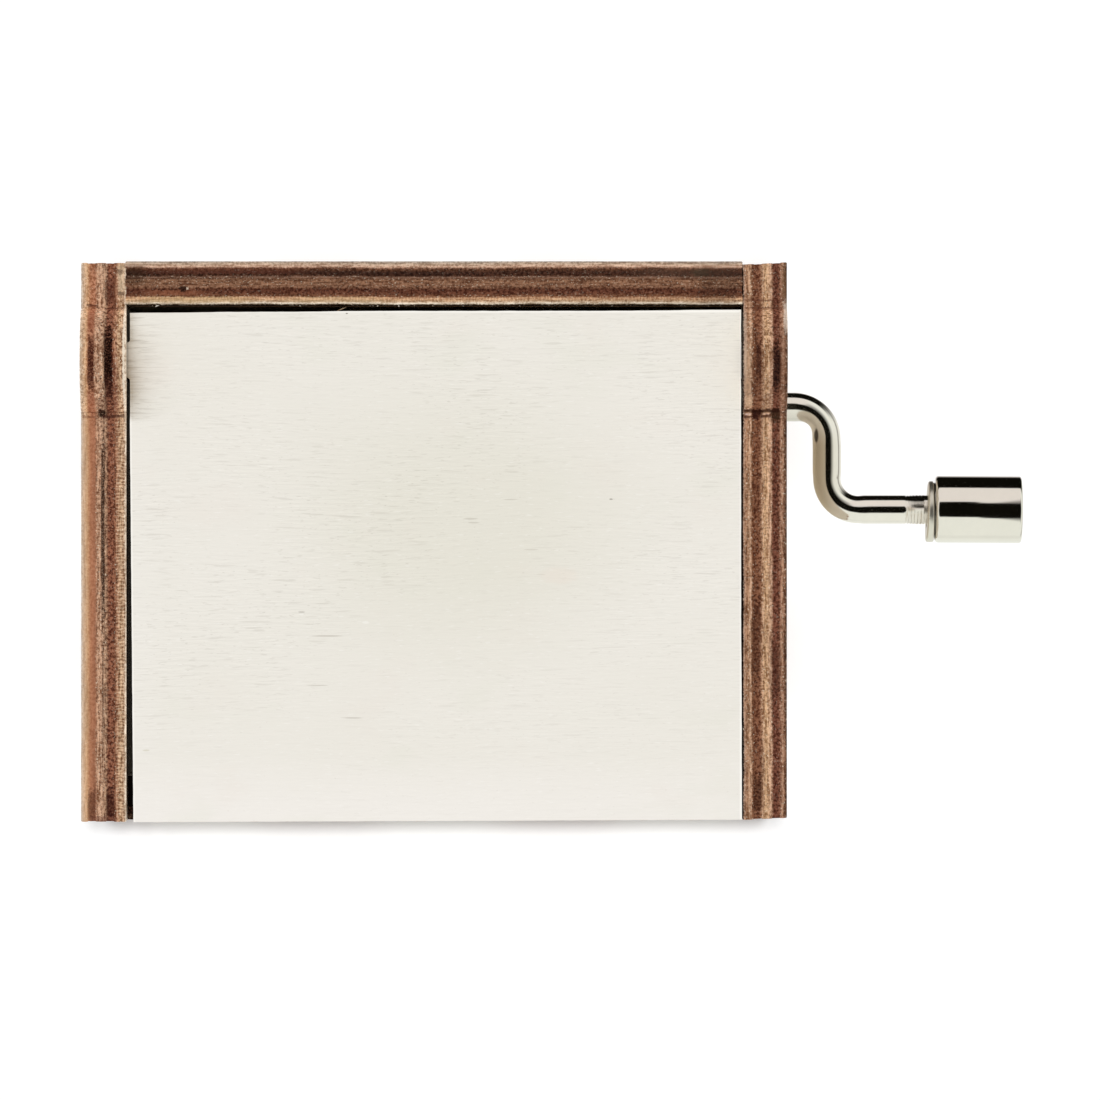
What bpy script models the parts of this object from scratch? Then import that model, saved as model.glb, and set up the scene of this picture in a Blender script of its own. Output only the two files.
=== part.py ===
"""Small hinged plywood music box with a hand-cranked eighteen-note movement.

Frame: +Z up, origin at the centre of the underside. The lid faces up, its
hinge is at the back (+Y), and the crank leaves the right side (+X).
All driving sizes are in millimetres and are turned into metres by MM.
"""

import math

import bmesh
import bpy
from mathutils import Matrix, Vector
from mathutils.geometry import delaunay_2d_cdt

MM = 0.001

# ---------------------------------------------------------------- sizes, mm
# case, laser-cut from one sheet of five-ply
PLY = 4.0
HALF_W = 32.0  # outside half width
Y_FRONT = -25.3  # front ends of the side walls, and front face of the front wall
Y_BACK = 25.3  # back ends of the side walls
BACK_PROUD = 0.15  # the back wall stands this far behind the side walls' ends
RIM_Z = 40.0  # rim of the walls, level with the lid's upper face
GLUE = 0.05  # glue line left between two glued pieces
IN_W = HALF_W - PLY
Y_BACK_OUT = Y_BACK + BACK_PROUD
Y_BACK_IN = Y_BACK_OUT - PLY
Y_FRONT_IN = Y_FRONT + PLY
# box joints: heights of the walls' tabs on the upright corners
TABS_Z = ((8.0, 16.0), (24.0, 32.0))
TABS_Y = ((-15.2, -5.1), (5.1, 15.2))  # bottom panel tabs through the side walls
TABS_X = ((-17.0, -6.0), (6.0, 17.0))  # bottom panel tabs through front and back

# lid and its hinge, two ears of the lid turning in round holes of the side walls
LID_X = (-27.6, 27.87)
LID_Y = (-25.42, 20.9)
PIVOT_Y = 16.48
PIVOT_Z = RIM_Z - PLY / 2
EAR_HALF = 1.6
EAR_END = 31.9
EAR_FILLET = 0.28
EAR_HOLE_R = 2.7
HUMP_R = 5.2  # the side walls rise round each hinge hole

# crank axis, and the offset axis of its knob
CRANK_Y = 12.6
CRANK_Z = 22.0
THROW = 9.57
KNOB_Y = CRANK_Y - THROW
CRANK_HOLE_R = 2.75
WIRE_R = 1.32
ARM_X = 36.23  # where the arm of the wire runs across
BEND_1 = 3.05
BEND_2 = 2.9
WASHER_X = (45.38, 45.98)
WASHER_R = 2.95
WASHER_SAG = 0.12  # the loose washer hangs this far off the knob's axis
KNOB_X = (46.22, 54.28)
KNOB_R = 3.1

# worm and worm wheel
TEETH = 18
WHEEL_R = 5.4
WORM_R = 2.2
LEAD = 2 * math.pi * WHEEL_R / TEETH
DRUM_X = 7.0
DRUM_Z = CRANK_Z - WHEEL_R - WORM_R
WHEEL_Y = (11.16, 14.16)

# pinned drum and comb
DRUM_R = 6.5
DRUM_IN_R = 5.9
DRUM_Y = (-12.35, 9.95)
PIN_H = 0.45
NOTES = 18
PITCH = 1.17
TRACK_MID = -0.9
COMB_TOP = 14.75
HEEL_T = 1.8
REED_T = 0.6
TIP_X = DRUM_X - DRUM_R - PIN_H - 0.15
HEEL_X = (-21.3, -12.4)
COMB_Y = (TRACK_MID - NOTES * PITCH / 2 - 0.05, TRACK_MID + NOTES * PITCH / 2 + 0.05)
COMB_SCREWS_Y = (TRACK_MID - 6.2, TRACK_MID + 6.2)
COMB_SCREW_X = -17.0

# die-cast bedplate
BED_Z = (PLY + GLUE, 6.8)
BED_X = (-22.0, 19.5)
BED_Y = (-18.0, 19.0)
POST_TOP = COMB_TOP - HEEL_T - 0.05
MOUNTS_XY = ((-17.0, TRACK_MID), (16.6, -9.0), (16.6, 6.0))

# ---------------------------------------------------------------- the scene
for old in list(bpy.data.objects):
    bpy.data.objects.remove(old)

PARTS = bpy.data.collections.new("music_box")
CUTTERS = bpy.data.collections.new("cutters")
bpy.context.scene.collection.children.link(PARTS)
bpy.context.scene.collection.children.link(CUTTERS)


def paint(obj, colour, rough, metal):
    """Gives the object a material of its own."""
    mat = bpy.data.materials.new(obj.name)
    mat.use_nodes = True
    shader = mat.node_tree.nodes["Principled BSDF"]
    shader.inputs["Base Color"].default_value = (*colour, 1.0)
    shader.inputs["Roughness"].default_value = rough
    shader.inputs["Metallic"].default_value = metal
    obj.data.materials.clear()
    obj.data.materials.append(mat)
    return obj


def wood(obj):
    return paint(obj, (0.80, 0.76, 0.68), 0.7, 0.0)


def steel(obj):
    return paint(obj, (0.62, 0.61, 0.58), 0.25, 1.0)


def brass(obj):
    return paint(obj, (0.78, 0.58, 0.28), 0.3, 1.0)


def zinc(obj):
    return paint(obj, (0.55, 0.55, 0.56), 0.45, 1.0)


def lead(obj):
    return paint(obj, (0.32, 0.32, 0.35), 0.6, 1.0)


def nylon(obj):
    return paint(obj, (0.86, 0.85, 0.80), 0.45, 0.0)


def place(obj, where, cutter=False):
    (CUTTERS if cutter else PARTS).objects.link(obj)
    obj.matrix_world = where
    if cutter:
        obj.hide_render = True
        obj.display_type = "WIRE"
    return obj


def at(x, y, z, turn=None):
    """A placement from millimetres, turned by a 3x3 or 4x4 matrix."""
    spin = (turn or Matrix.Identity(3)).to_4x4()
    return Matrix.Translation(Vector((x, y, z)) * MM) @ spin


ALONG_X = Matrix.Rotation(math.pi / 2, 3, "Y")  # local Z points along +X
ALONG_Y = Matrix.Rotation(-math.pi / 2, 3, "X")  # local Z points along +Y
# flat outlines drawn in local XY and stood up
PLANE_YZ = Matrix(((0, 0, 1), (1, 0, 0), (0, 1, 0)))  # local x is Y, y is Z
PLANE_XZ = Matrix(((1, 0, 0), (0, 0, -1), (0, 1, 0)))  # local x is X, y is Z


def circle(cx, cy, r, n, start=0.0):
    step = 2 * math.pi / n
    return [
        (cx + r * math.cos(start + i * step), cy + r * math.sin(start + i * step))
        for i in range(n)
    ]


def inside(u, v, loops):
    """Whether a point lies in the outlines' material, by counting crossings."""
    odd = False
    for loop in loops:
        for (u0, v0), (u1, v1) in zip(loop, loop[1:] + loop[:1], strict=True):
            if (v0 > v) != (v1 > v) and u < u0 + (v - v0) * (u1 - u0) / (v1 - v0):
                odd = not odd
    return odd


def flat(name, loops, thick, where, cutter=False):
    """A plate from closed outlines: the first is its edge, the others are holes."""
    corners, rims = [], []
    for loop in loops:
        first = len(corners)
        corners += [Vector(p) for p in loop]
        n = len(loop)
        rims += [(first + i, first + (i + 1) % n) for i in range(n)]
    points, _, faces, *_ = delaunay_2d_cdt(corners, rims, [], 1, 1e-5)
    faces = [
        f
        for f in faces
        if inside(*(sum((points[i] for i in f), Vector((0, 0))) / len(f)), loops)
    ]
    sides = {(f[i - 1], f[i]) for f in faces for i in range(len(f))}
    work = bmesh.new()
    low = [work.verts.new((u * MM, v * MM, -thick / 2 * MM)) for u, v in points]
    high = [work.verts.new((u * MM, v * MM, thick / 2 * MM)) for u, v in points]
    for f in faces:
        work.faces.new([high[i] for i in f])
        work.faces.new([low[i] for i in reversed(f)])
    for i, j in sorted(sides):
        if (j, i) not in sides:
            work.faces.new([low[i], low[j], high[j], high[i]])
    bmesh.ops.recalc_face_normals(work, faces=work.faces)
    mesh = bpy.data.meshes.new(name)
    work.to_mesh(mesh)
    work.free()
    return place(bpy.data.objects.new(name, mesh), where, cutter)


def meshed(source, name, where, cutter=False):
    """The source's evaluated shape as a welded mesh object."""
    bpy.context.view_layer.update()
    graph = bpy.context.evaluated_depsgraph_get()
    mesh = bpy.data.meshes.new_from_object(source.evaluated_get(graph))
    bpy.data.objects.remove(source)
    work = bmesh.new()
    work.from_mesh(mesh)
    bmesh.ops.remove_doubles(work, verts=work.verts, dist=1e-6)
    bmesh.ops.recalc_face_normals(work, faces=work.faces)
    work.to_mesh(mesh)
    work.free()
    mesh.name = name
    return place(bpy.data.objects.new(name, mesh), where, cutter)


def turned(name, profile, where, steps=28, cutter=False, closed=False):
    """A turned piece. The profile is (radius, height) from the top, down its
    outer side; a closed one comes back up its bore."""
    mesh = bpy.data.meshes.new(name)
    points = [(r * MM, 0, h * MM) for r, h in profile]
    edges = [(i, i + 1) for i in range(len(points) - 1)]
    if closed:
        edges.append((len(points) - 1, 0))
    mesh.from_pydata(points, edges, [])
    obj = place(bpy.data.objects.new(name, mesh), where, cutter)
    screw = obj.modifiers.new("Turn", "SCREW")
    screw.steps = screw.render_steps = steps
    screw.use_merge_vertices = True
    screw.merge_threshold = 1e-6
    return obj


def block(name, low, high, cutter=False, bevel=0.0):
    """A box between two corners, in millimetres."""
    work = bmesh.new()
    bmesh.ops.create_cube(work, size=1.0)
    size = [(b - a) * MM for a, b in zip(low, high, strict=True)]
    bmesh.ops.scale(work, vec=size, verts=work.verts)
    mesh = bpy.data.meshes.new(name)
    work.to_mesh(mesh)
    work.free()
    mid = [(a + b) / 2 for a, b in zip(low, high, strict=True)]
    obj = place(bpy.data.objects.new(name, mesh), at(*mid), cutter)
    if bevel:
        soft = obj.modifiers.new("Soften", "BEVEL")
        soft.width = bevel * MM
        soft.segments = 2
    return obj


def rod(name, r, length, where, steps=24, cutter=True, top_r=None):
    """A round bar or cone standing on its placement, along local Z."""
    work = bmesh.new()
    bmesh.ops.create_cone(
        work,
        cap_ends=True,
        segments=steps,
        radius1=r * MM,
        radius2=(r if top_r is None else top_r) * MM,
        depth=length * MM,
    )
    bmesh.ops.translate(work, vec=(0, 0, length / 2 * MM), verts=work.verts)
    mesh = bpy.data.meshes.new(name)
    work.to_mesh(mesh)
    work.free()
    return place(bpy.data.objects.new(name, mesh), where, cutter)


def combine(obj, other, how):
    step = obj.modifiers.new(how.title(), "BOOLEAN")
    step.operation = how
    step.object = other
    step.solver = "EXACT"
    return obj


def cut(obj, *others):
    for other in others:
        combine(obj, other, "DIFFERENCE")
    return obj


def join(obj, *others):
    for other in others:
        combine(obj, other, "UNION")
    return obj


# ---------------------------------------------------------------- the case
h = GLUE / 2


def side_outline():
    """Side wall as (y, z): box joints on three edges, a hump round the hinge."""
    pts = [(Y_FRONT, 0)]
    for a, b in TABS_Y:
        pts += [(a - h, 0), (a - h, PLY + h), (b + h, PLY + h), (b + h, 0)]
    pts.append((Y_BACK, 0))
    for a, b in TABS_Z:
        pts += [(Y_BACK, a - h), (Y_BACK_IN - h, a - h)]
        pts += [(Y_BACK_IN - h, b + h), (Y_BACK, b + h)]
    pts.append((Y_BACK, RIM_Z))
    low = math.asin((RIM_Z - PIVOT_Z) / HUMP_R)
    n = 20
    for i in range(n + 1):
        a = low + (math.pi - 2 * low) * i / n
        pts.append((PIVOT_Y + HUMP_R * math.cos(a), PIVOT_Z + HUMP_R * math.sin(a)))
    pts.append((Y_FRONT, RIM_Z))
    for a, b in reversed(TABS_Z):
        pts += [(Y_FRONT, b + h), (Y_FRONT_IN + h, b + h)]
        pts += [(Y_FRONT_IN + h, a - h), (Y_FRONT, a - h)]
    return pts


def end_outline(top):
    """Front or back wall as (x, z), between the side walls, tabs through them."""
    pts = [(-IN_W + h, 0)]
    for a, b in TABS_X:
        pts += [(a - h, 0), (a - h, PLY + h), (b + h, PLY + h), (b + h, 0)]
    pts.append((IN_W - h, 0))
    for a, b in TABS_Z:
        pts += [(IN_W - h, a + h), (HALF_W, a + h), (HALF_W, b - h), (IN_W - h, b - h)]
    pts += [(IN_W - h, top), (-IN_W + h, top)]
    for a, b in reversed(TABS_Z):
        pts += [(-IN_W + h, b - h), (-HALF_W, b - h)]
        pts += [(-HALF_W, a + h), (-IN_W + h, a + h)]
    return pts


def bottom_outline():
    """Bottom panel as (x, y), with tabs through all four walls."""
    x, y0, y1 = IN_W - h, Y_FRONT_IN + h, Y_BACK_IN - h
    pts = [(-x, y0)]
    for a, b in TABS_X:
        pts += [(a + h, y0), (a + h, Y_FRONT), (b - h, Y_FRONT), (b - h, y0)]
    pts.append((x, y0))
    for a, b in TABS_Y:
        pts += [(x, a + h), (HALF_W, a + h), (HALF_W, b - h), (x, b - h)]
    pts.append((x, y1))
    for a, b in reversed(TABS_X):
        pts += [(b - h, y1), (b - h, Y_BACK_OUT), (a + h, Y_BACK_OUT), (a + h, y1)]
    pts.append((-x, y1))
    for a, b in reversed(TABS_Y):
        pts += [(-x, b - h), (-HALF_W, b - h), (-HALF_W, a + h), (-x, a + h)]
    return pts


def lid_outline():
    """Lid as (x, y), with an ear at each side and small fillets at its root."""
    (x0, x1), (y0, y1), f = LID_X, LID_Y, EAR_FILLET
    low, high = PIVOT_Y - EAR_HALF, PIVOT_Y + EAR_HALF
    f1 = min(f, (IN_W - x1) * 0.8)
    pts = [(x0, y0), (x1, y0)]
    pts += [(x1, low - f1), (x1 + f1, low), (EAR_END, low)]
    pts += [(EAR_END, high), (x1 + f1, high), (x1, high + f1)]
    pts += [(x1, y1), (x0, y1)]
    pts += [(x0, high + f), (x0 - f, high), (-EAR_END, high)]
    pts += [(-EAR_END, low), (x0 - f, low), (x0, low - f)]
    return pts


ear_hole = circle(PIVOT_Y, PIVOT_Z, EAR_HOLE_R, 28)
crank_hole = circle(CRANK_Y, CRANK_Z, CRANK_HOLE_R, 28)
mid = IN_W + PLY / 2
wood(flat("left_wall", [side_outline(), ear_hole], PLY, at(-mid, 0, 0, PLANE_YZ)))
wood(
    flat(
        "right_wall",
        [side_outline(), ear_hole, crank_hole],
        PLY,
        at(mid, 0, 0, PLANE_YZ),
    )
)
wood(
    flat(
        "front_wall",
        [end_outline(RIM_Z - PLY - GLUE)],
        PLY,
        at(0, Y_FRONT + PLY / 2, 0, PLANE_XZ),
    )
)
wood(
    flat(
        "back_wall",
        [end_outline(RIM_Z)],
        PLY,
        at(0, Y_BACK_OUT - PLY / 2, 0, PLANE_XZ),
    )
)
bottom = wood(
    flat(
        "bottom_panel",
        [bottom_outline()],
        PLY,
        at(0, 0, PLY / 2),
    )
)
for n, (x, y) in enumerate(MOUNTS_XY, 1):
    hole = [(0, 4.6), (1.38, 4.6), (1.38, 1.37), (3.05, -0.3), (0, -0.3)]
    cut(bottom, turned(f"sink_{n}", hole, at(x, y, 0), 20, cutter=True))
lid = wood(flat("lid", [lid_outline()], PLY, at(0, 0, RIM_Z - PLY / 2)))

# ------------------------------------------------------------- the bedplate


def rounded(x0, x1, y0, y1, r, n=4):
    pts = []
    for cx, cy, a in (
        (x1 - r, y0 + r, -90),
        (x1 - r, y1 - r, 0),
        (x0 + r, y1 - r, 90),
        (x0 + r, y0 + r, 180),
    ):
        for i in range(n + 1):
            t = math.radians(a + 90 * i / n)
            pts.append((cx + r * math.cos(t), cy + r * math.sin(t)))
    return pts


def standard(y_mid, z_mid, half, head_r, foot, n=14):
    """A bearing standard seen end on: straight sides and a round head."""
    a = math.asin(half / head_r)
    pts = [(y_mid - half, foot), (y_mid + half, foot)]
    start, end = -math.pi / 2 + a, math.pi * 1.5 - a
    for i in range(n + 1):
        t = start + (end - start) * i / n
        pts.append((y_mid + head_r * math.cos(t), z_mid + head_r * math.sin(t)))
    return pts


foot = BED_Z[0] + 1.2
bed = flat(
    "bedplate",
    [rounded(*BED_X, *BED_Y, 2.5)],
    BED_Z[1] - BED_Z[0],
    at(0, 0, sum(BED_Z) / 2),
)
post = flat(
    "comb_post",
    [rounded(HEEL_X[0] - 0.2, HEEL_X[1] - 0.3, COMB_Y[0] + 0.2, COMB_Y[1] - 0.2, 1.0, 3)],
    POST_TOP - foot,
    at(0, 0, (POST_TOP + foot) / 2),
    True,
)
WORM_LEFT_X = (-2.6, 0.4)
WORM_RIGHT_X = (13.4, 16.2)
REAR_Y = (15.2, 17.6)
PILLAR_Y = (-16.0, -13.5)
worm_left = flat(
    "worm_standard_left",
    [standard(CRANK_Y, CRANK_Z, 1.8, 2.8, foot)],
    WORM_LEFT_X[1] - WORM_LEFT_X[0],
    at(sum(WORM_LEFT_X) / 2, 0, 0, PLANE_YZ),
    True,
)
worm_right = flat(
    "worm_standard_right",
    [standard(CRANK_Y, CRANK_Z, 1.9, 4.3, foot)],
    WORM_RIGHT_X[1] - WORM_RIGHT_X[0],
    at(sum(WORM_RIGHT_X) / 2, 0, 0, PLANE_YZ),
    True,
)
rear = flat(
    "drum_standard_rear",
    [standard(DRUM_X, DRUM_Z, 2.6, 3.2, foot)],
    REAR_Y[1] - REAR_Y[0],
    at(0, sum(REAR_Y) / 2, 0, PLANE_XZ),
    True,
)
pillars = [
    block(
        f"front_pillar_{i}",
        (x, PILLAR_Y[0], foot),
        (x + 3.4, PILLAR_Y[1], 10.8),
        True,
    )
    for i, x in enumerate((0.3, 10.3), 1)
]
bosses = [
    rod(f"mount_boss_{i}", 2.5, 8.4 - foot, at(x, y, foot), 20)
    for i, (x, y) in enumerate(MOUNTS_XY[1:], 1)
]
join(bed, post, worm_left, worm_right, rear, *pillars, *bosses)
PLATE_SCREW_XZ = ((2.0, 8.7), (12.0, 8.7))
cut(
    bed,
    rod("arbor_hole", 0.84, 6.0, at(DRUM_X, 14.0, DRUM_Z, ALONG_Y), 20),
    rod("worm_hole_left", 1.3, 6.0, at(-4.0, CRANK_Y, CRANK_Z, ALONG_X), 24),
    rod("worm_hole_right", 2.99, 6.0, at(12.0, CRANK_Y, CRANK_Z, ALONG_X), 28),
    *(
        rod(f"comb_tap_{i}", 1.06, 6.0, at(COMB_SCREW_X, y, 8.0), 16)
        for i, y in enumerate(COMB_SCREWS_Y, 1)
    ),
    *(
        rod(f"mount_tap_{i}", 1.27, 4.0 if i > 1 else 6.0, at(x, y, 3.0), 16)
        for i, (x, y) in enumerate(MOUNTS_XY, 1)
    ),
    *(
        rod(f"plate_tap_{i}", 0.9, 3.4, at(x, PILLAR_Y[0] - 1.0, z, ALONG_Y), 16)
        for i, (x, z) in enumerate(PLATE_SCREW_XZ, 1)
    ),
)
zinc(bed)

# bearing plate for the drum's front journal, screwed to the two pillars
PLATE_Y = (PILLAR_Y[0] - 0.05 - 1.2, PILLAR_Y[0] - 0.05)


def plate_outline():
    pts = [(0.4, 7.0), (13.6, 7.0), (13.6, 10.6)]
    a0 = math.radians(-15)
    for i in range(15):
        t = a0 + (math.pi - 2 * a0) * i / 14
        pts.append((DRUM_X + 3.0 * math.cos(t), DRUM_Z + 3.0 * math.sin(t)))
    pts.append((0.4, 10.6))
    return pts


steel(
    flat(
        "bearing_plate",
        [
            plate_outline(),
            circle(DRUM_X, DRUM_Z, 0.84, 20),
            *(circle(x, z, 1.0, 16) for x, z in PLATE_SCREW_XZ),
        ],
        PLATE_Y[1] - PLATE_Y[0],
        at(0, sum(PLATE_Y) / 2, 0, PLANE_XZ),
    )
)


def cross(name, where, r, deep, wide):
    """Two crossed bars that cut a screw head's recess."""
    bars = []
    for i in range(2):
        a = (r, wide) if i else (wide, r)
        bars.append(
            flat(
                f"{name}_bar_{i}",
                [[(-a[0], -a[1]), (a[0], -a[1]), (a[0], a[1]), (-a[0], a[1])]],
                deep * 2,
                where,
                True,
            )
        )
    return bars


def screw(name, x, y, z, turn, head, head_h, shank, length, flat_head=False):
    """A screw whose head's upper face is at local z 0 and whose shank runs to -z."""
    if flat_head:
        profile = [(0, 0), (head, 0), (head, -0.15), (shank, -head_h)]
    else:
        profile = [(0, 0), (head * 0.8, 0), (head, -head_h * 0.35), (head, -head_h)]
        profile.append((shank, -head_h))
    profile += [
        (shank, -head_h - length + 0.3),
        (shank - 0.3, -head_h - length),
        (0, -head_h - length),
    ]
    obj = turned(name, profile, at(x, y, z, turn), 20)
    cut(obj, *cross(name, at(x, y, z, turn), head * 0.62, head_h * 0.45, head * 0.13))
    return obj


UP = Matrix.Identity(3)
DOWN = Matrix.Rotation(math.pi, 3, "X")
FORWARD = Matrix.Rotation(math.pi / 2, 3, "X")  # local +Z points to -Y
for name, (x, z) in zip(("left", "right"), PLATE_SCREW_XZ, strict=True):
    steel(
        screw(
            f"plate_screw_{name}",
            x,
            PLATE_Y[0] - 0.03 - 0.8,
            z,
            FORWARD,
            1.55,
            0.8,
            0.82,
            3.0,
        )
    )
for name, y in zip(("front", "rear"), COMB_SCREWS_Y, strict=True):
    steel(
        screw(
            f"comb_screw_{name}",
            COMB_SCREW_X,
            y,
            COMB_TOP + 0.03 + 1.3,
            UP,
            2.0,
            1.3,
            0.98,
            5.6,
        )
    )
for i, (x, y) in enumerate(MOUNTS_XY, 1):
    steel(screw(f"mount_screw_{i}", x, y, 0.12, DOWN, 2.35, 1.25, 1.18, 5.2, True))

# ------------------------------------------------------------------ the comb


def reeds_outline():
    """Eighteen reeds as one flat outline in (x, y); the bass side is at the front."""
    pts = [(HEEL_X[1] - 0.6, COMB_Y[0])]
    for i in range(NOTES):
        y = TRACK_MID + (i - (NOTES - 1) / 2) * PITCH
        low, high = y - PITCH / 2 + 0.15, y + PITCH / 2 - 0.15
        if i == 0:
            low = COMB_Y[0]
        if i == NOTES - 1:
            high = COMB_Y[1]
        slot = HEEL_X[1] + 0.5 + 3.4 * (i + 1) / NOTES
        if i:
            root = HEEL_X[1] + 0.5 + 3.4 * i / NOTES
            pts.append((root, low))
        pts += [
            (TIP_X - 1.5, low),
            (TIP_X - 1.1, y - 0.24),
            (TIP_X, y - 0.24),
            (TIP_X, y + 0.24),
            (TIP_X - 1.1, y + 0.24),
            (TIP_X - 1.5, high),
        ]
        if i < NOTES - 1:
            pts.append((slot, high))
    pts.append((HEEL_X[1] - 0.6, COMB_Y[1]))
    return pts


comb = flat(
    "comb",
    [
        [
            (HEEL_X[0], COMB_Y[0]),
            (HEEL_X[1], COMB_Y[0]),
            (HEEL_X[1], COMB_Y[1]),
            (HEEL_X[0], COMB_Y[1]),
        ],
        *(circle(COMB_SCREW_X, y, 1.15, 18) for y in COMB_SCREWS_Y),
    ],
    HEEL_T,
    at(0, 0, COMB_TOP - HEEL_T / 2),
)
reeds = flat(
    "comb_reeds",
    [[(x, y * 0.9999 + TRACK_MID * 0.0001) for x, y in reeds_outline()]],
    REED_T,
    at(0, 0, COMB_TOP - REED_T / 2 - 0.02),
    True,
)
steel(join(comb, reeds))
for i in range(6):
    y = TRACK_MID + (i - (NOTES - 1) / 2) * PITCH
    long, tall = 3.6 - 0.4 * i, 1.9 - 0.2 * i
    top = COMB_TOP - REED_T - 0.05
    lead(
        block(
            f"bass_weight_{i + 1}",
            (TIP_X - 1.7 - long, y - 0.38, top - tall),
            (TIP_X - 1.7, y + 0.38, top),
            bevel=0.08,
        )
    )

# ------------------------------------------------------------------ the drum
drum_axis = bpy.data.objects.new("drum_axis", None)
place(drum_axis, at(DRUM_X, 0, DRUM_Z))


def hang(obj, axis):
    """Parents obj to a joint's empty and keeps it in place."""
    bpy.context.view_layer.update()
    here = obj.matrix_world.copy()
    obj.parent = axis
    obj.matrix_parent_inverse = axis.matrix_world.inverted()
    obj.matrix_world = here
    return obj


on_drum = at(DRUM_X, 0, DRUM_Z, ALONG_Y)
drum = turned(
    "drum",
    [
        (DRUM_R - 0.15, DRUM_Y[1]),
        (DRUM_R, DRUM_Y[1] - 0.15),
        (DRUM_R, DRUM_Y[0] + 0.15),
        (DRUM_R - 0.15, DRUM_Y[0]),
        (DRUM_IN_R, DRUM_Y[0]),
        (DRUM_IN_R, DRUM_Y[1]),
    ],
    on_drum,
    48,
    closed=True,
)


def pin_angles(track):
    """Where one track's pins stand: a repeated figure that climbs and falls."""
    found = []
    for beat in range(16):
        swing = round(8.5 + 6.5 * math.sin(beat * 1.17) + 2.2 * math.sin(beat * 2.9))
        if track in (swing, (swing + 5) % NOTES, (swing * 2 + 7) % NOTES):
            found.append(beat)
    return [(b + 0.35) * 2 * math.pi / 17 for b in found]


pins = bmesh.new()
for track in range(NOTES):
    y = TRACK_MID + (track - (NOTES - 1) / 2) * PITCH
    for a in pin_angles(track):
        spot = (
            Matrix.Translation((0, 0, y * MM))
            @ Matrix.Rotation(a, 4, "Z")
            @ Matrix.Rotation(math.pi / 2, 4, "Y")
            @ Matrix.Translation((0, 0, (DRUM_R - 0.2 + (PIN_H + 0.2) / 2) * MM))
        )
        bmesh.ops.create_cone(
            pins,
            cap_ends=True,
            segments=6,
            radius1=0.24 * MM,
            radius2=0.17 * MM,
            depth=(PIN_H + 0.2) * MM,
            matrix=spot,
        )
pin_mesh = bpy.data.meshes.new("drum_pins")
pins.to_mesh(pin_mesh)
pins.free()
pin_obj = place(bpy.data.objects.new("drum_pins", pin_mesh), on_drum, True)
steel(hang(join(drum, pin_obj), drum_axis))
paint(drum, (0.72, 0.66, 0.50), 0.3, 1.0)

cap = turned(
    "drum_cap",
    [
        (5.82, -10.6),
        (5.82, DRUM_Y[0] - 0.05),
        (6.3, DRUM_Y[0] - 0.05),
        (6.3, DRUM_Y[0] - 0.55),
        (1.5, DRUM_Y[0] - 0.55),
        (1.5, -15.8),
        (0.78, -15.8),
        (0.78, -10.6),
    ],
    on_drum,
    32,
    closed=True,
)
nylon(hang(cap, drum_axis))
arbor = turned(
    "drum_arbor",
    [
        (0, 18.1),
        (0.55, 18.1),
        (0.74, 17.9),
        (0.74, -17.6),
        (0.55, -17.8),
        (0, -17.8),
    ],
    on_drum,
    16,
)
steel(hang(arbor, drum_axis))


def wheel_outline():
    """Worm wheel as (x, z) about its own centre, a gap facing straight up."""
    pts = []
    for i in range(TEETH):
        c = math.pi / 2 + (i + 0.5) * 2 * math.pi / TEETH
        for r, half in ((4.72, 0.50), (5.95, 0.21)):
            pts.append((r * math.cos(c - half / r), r * math.sin(c - half / r)))
        for r, half in ((5.95, 0.21), (4.72, 0.50)):
            pts.append((r * math.cos(c + half / r), r * math.sin(c + half / r)))
    return pts


wheel = turned(
    "worm_wheel",
    [
        (2.0, 14.95),
        (2.0, WHEEL_Y[1] - 0.4),
        (4.0, WHEEL_Y[1] - 0.4),
        (4.0, WHEEL_Y[0] - 0.01),
        (4.5, WHEEL_Y[0] - 0.01),
        (4.5, DRUM_Y[1] + 0.05),
        (5.82, DRUM_Y[1] + 0.05),
        (5.82, 8.2),
        (0.78, 8.2),
        (0.78, 14.95),
    ],
    on_drum,
    32,
    closed=True,
)
rim = flat(
    "worm_wheel_rim",
    [wheel_outline(), circle(0, 0, 3.6, 32)],
    WHEEL_Y[1] - WHEEL_Y[0],
    at(DRUM_X, sum(WHEEL_Y) / 2, DRUM_Z, PLANE_XZ),
    True,
)
# the teeth lean to follow the worm's thread; local z points to -Y
lean = LEAD / (2 * math.pi) / WORM_R / WHEEL_R / MM
for v in rim.data.vertices:
    turn = lean * v.co.z
    c, s = math.cos(turn), math.sin(turn)
    v.co.x, v.co.y = v.co.x * c - v.co.y * s, v.co.x * s + v.co.y * c
nylon(hang(join(wheel, rim), drum_axis))

# ------------------------------------------------- worm shaft, crank and knob
crank_axis = bpy.data.objects.new("crank_axis", None)
place(crank_axis, at(HALF_W, CRANK_Y, CRANK_Z))
on_crank = at(0, CRANK_Y, CRANK_Z, ALONG_X)

shaft = turned(
    "worm_shaft",
    [
        (0, 14.4),
        (1.06, 14.4),
        (1.06, 20.6),
        (1.4, 20.6),
        (1.6, 20.4),
        (1.6, 12.9),
        (1.95, 12.9),
        (1.95, 11.4),
        (1.5, 11.4),
        (1.5, 2.6),
        (1.9, 2.6),
        (1.9, 0.7),
        (1.22, 0.7),
        (1.22, -2.95),
        (0.85, -2.95),
        (0.85, -3.35),
        (1.22, -3.35),
        (1.22, -4.0),
        (1.0, -4.2),
        (0, -4.2),
    ],
    on_crank,
    24,
)
thread = bmesh.new()
THREAD_X = (3.3, 10.7)
turns = (THREAD_X[1] - THREAD_X[0]) / LEAD
per_turn = 20
steps = round(turns * per_turn)
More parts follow.
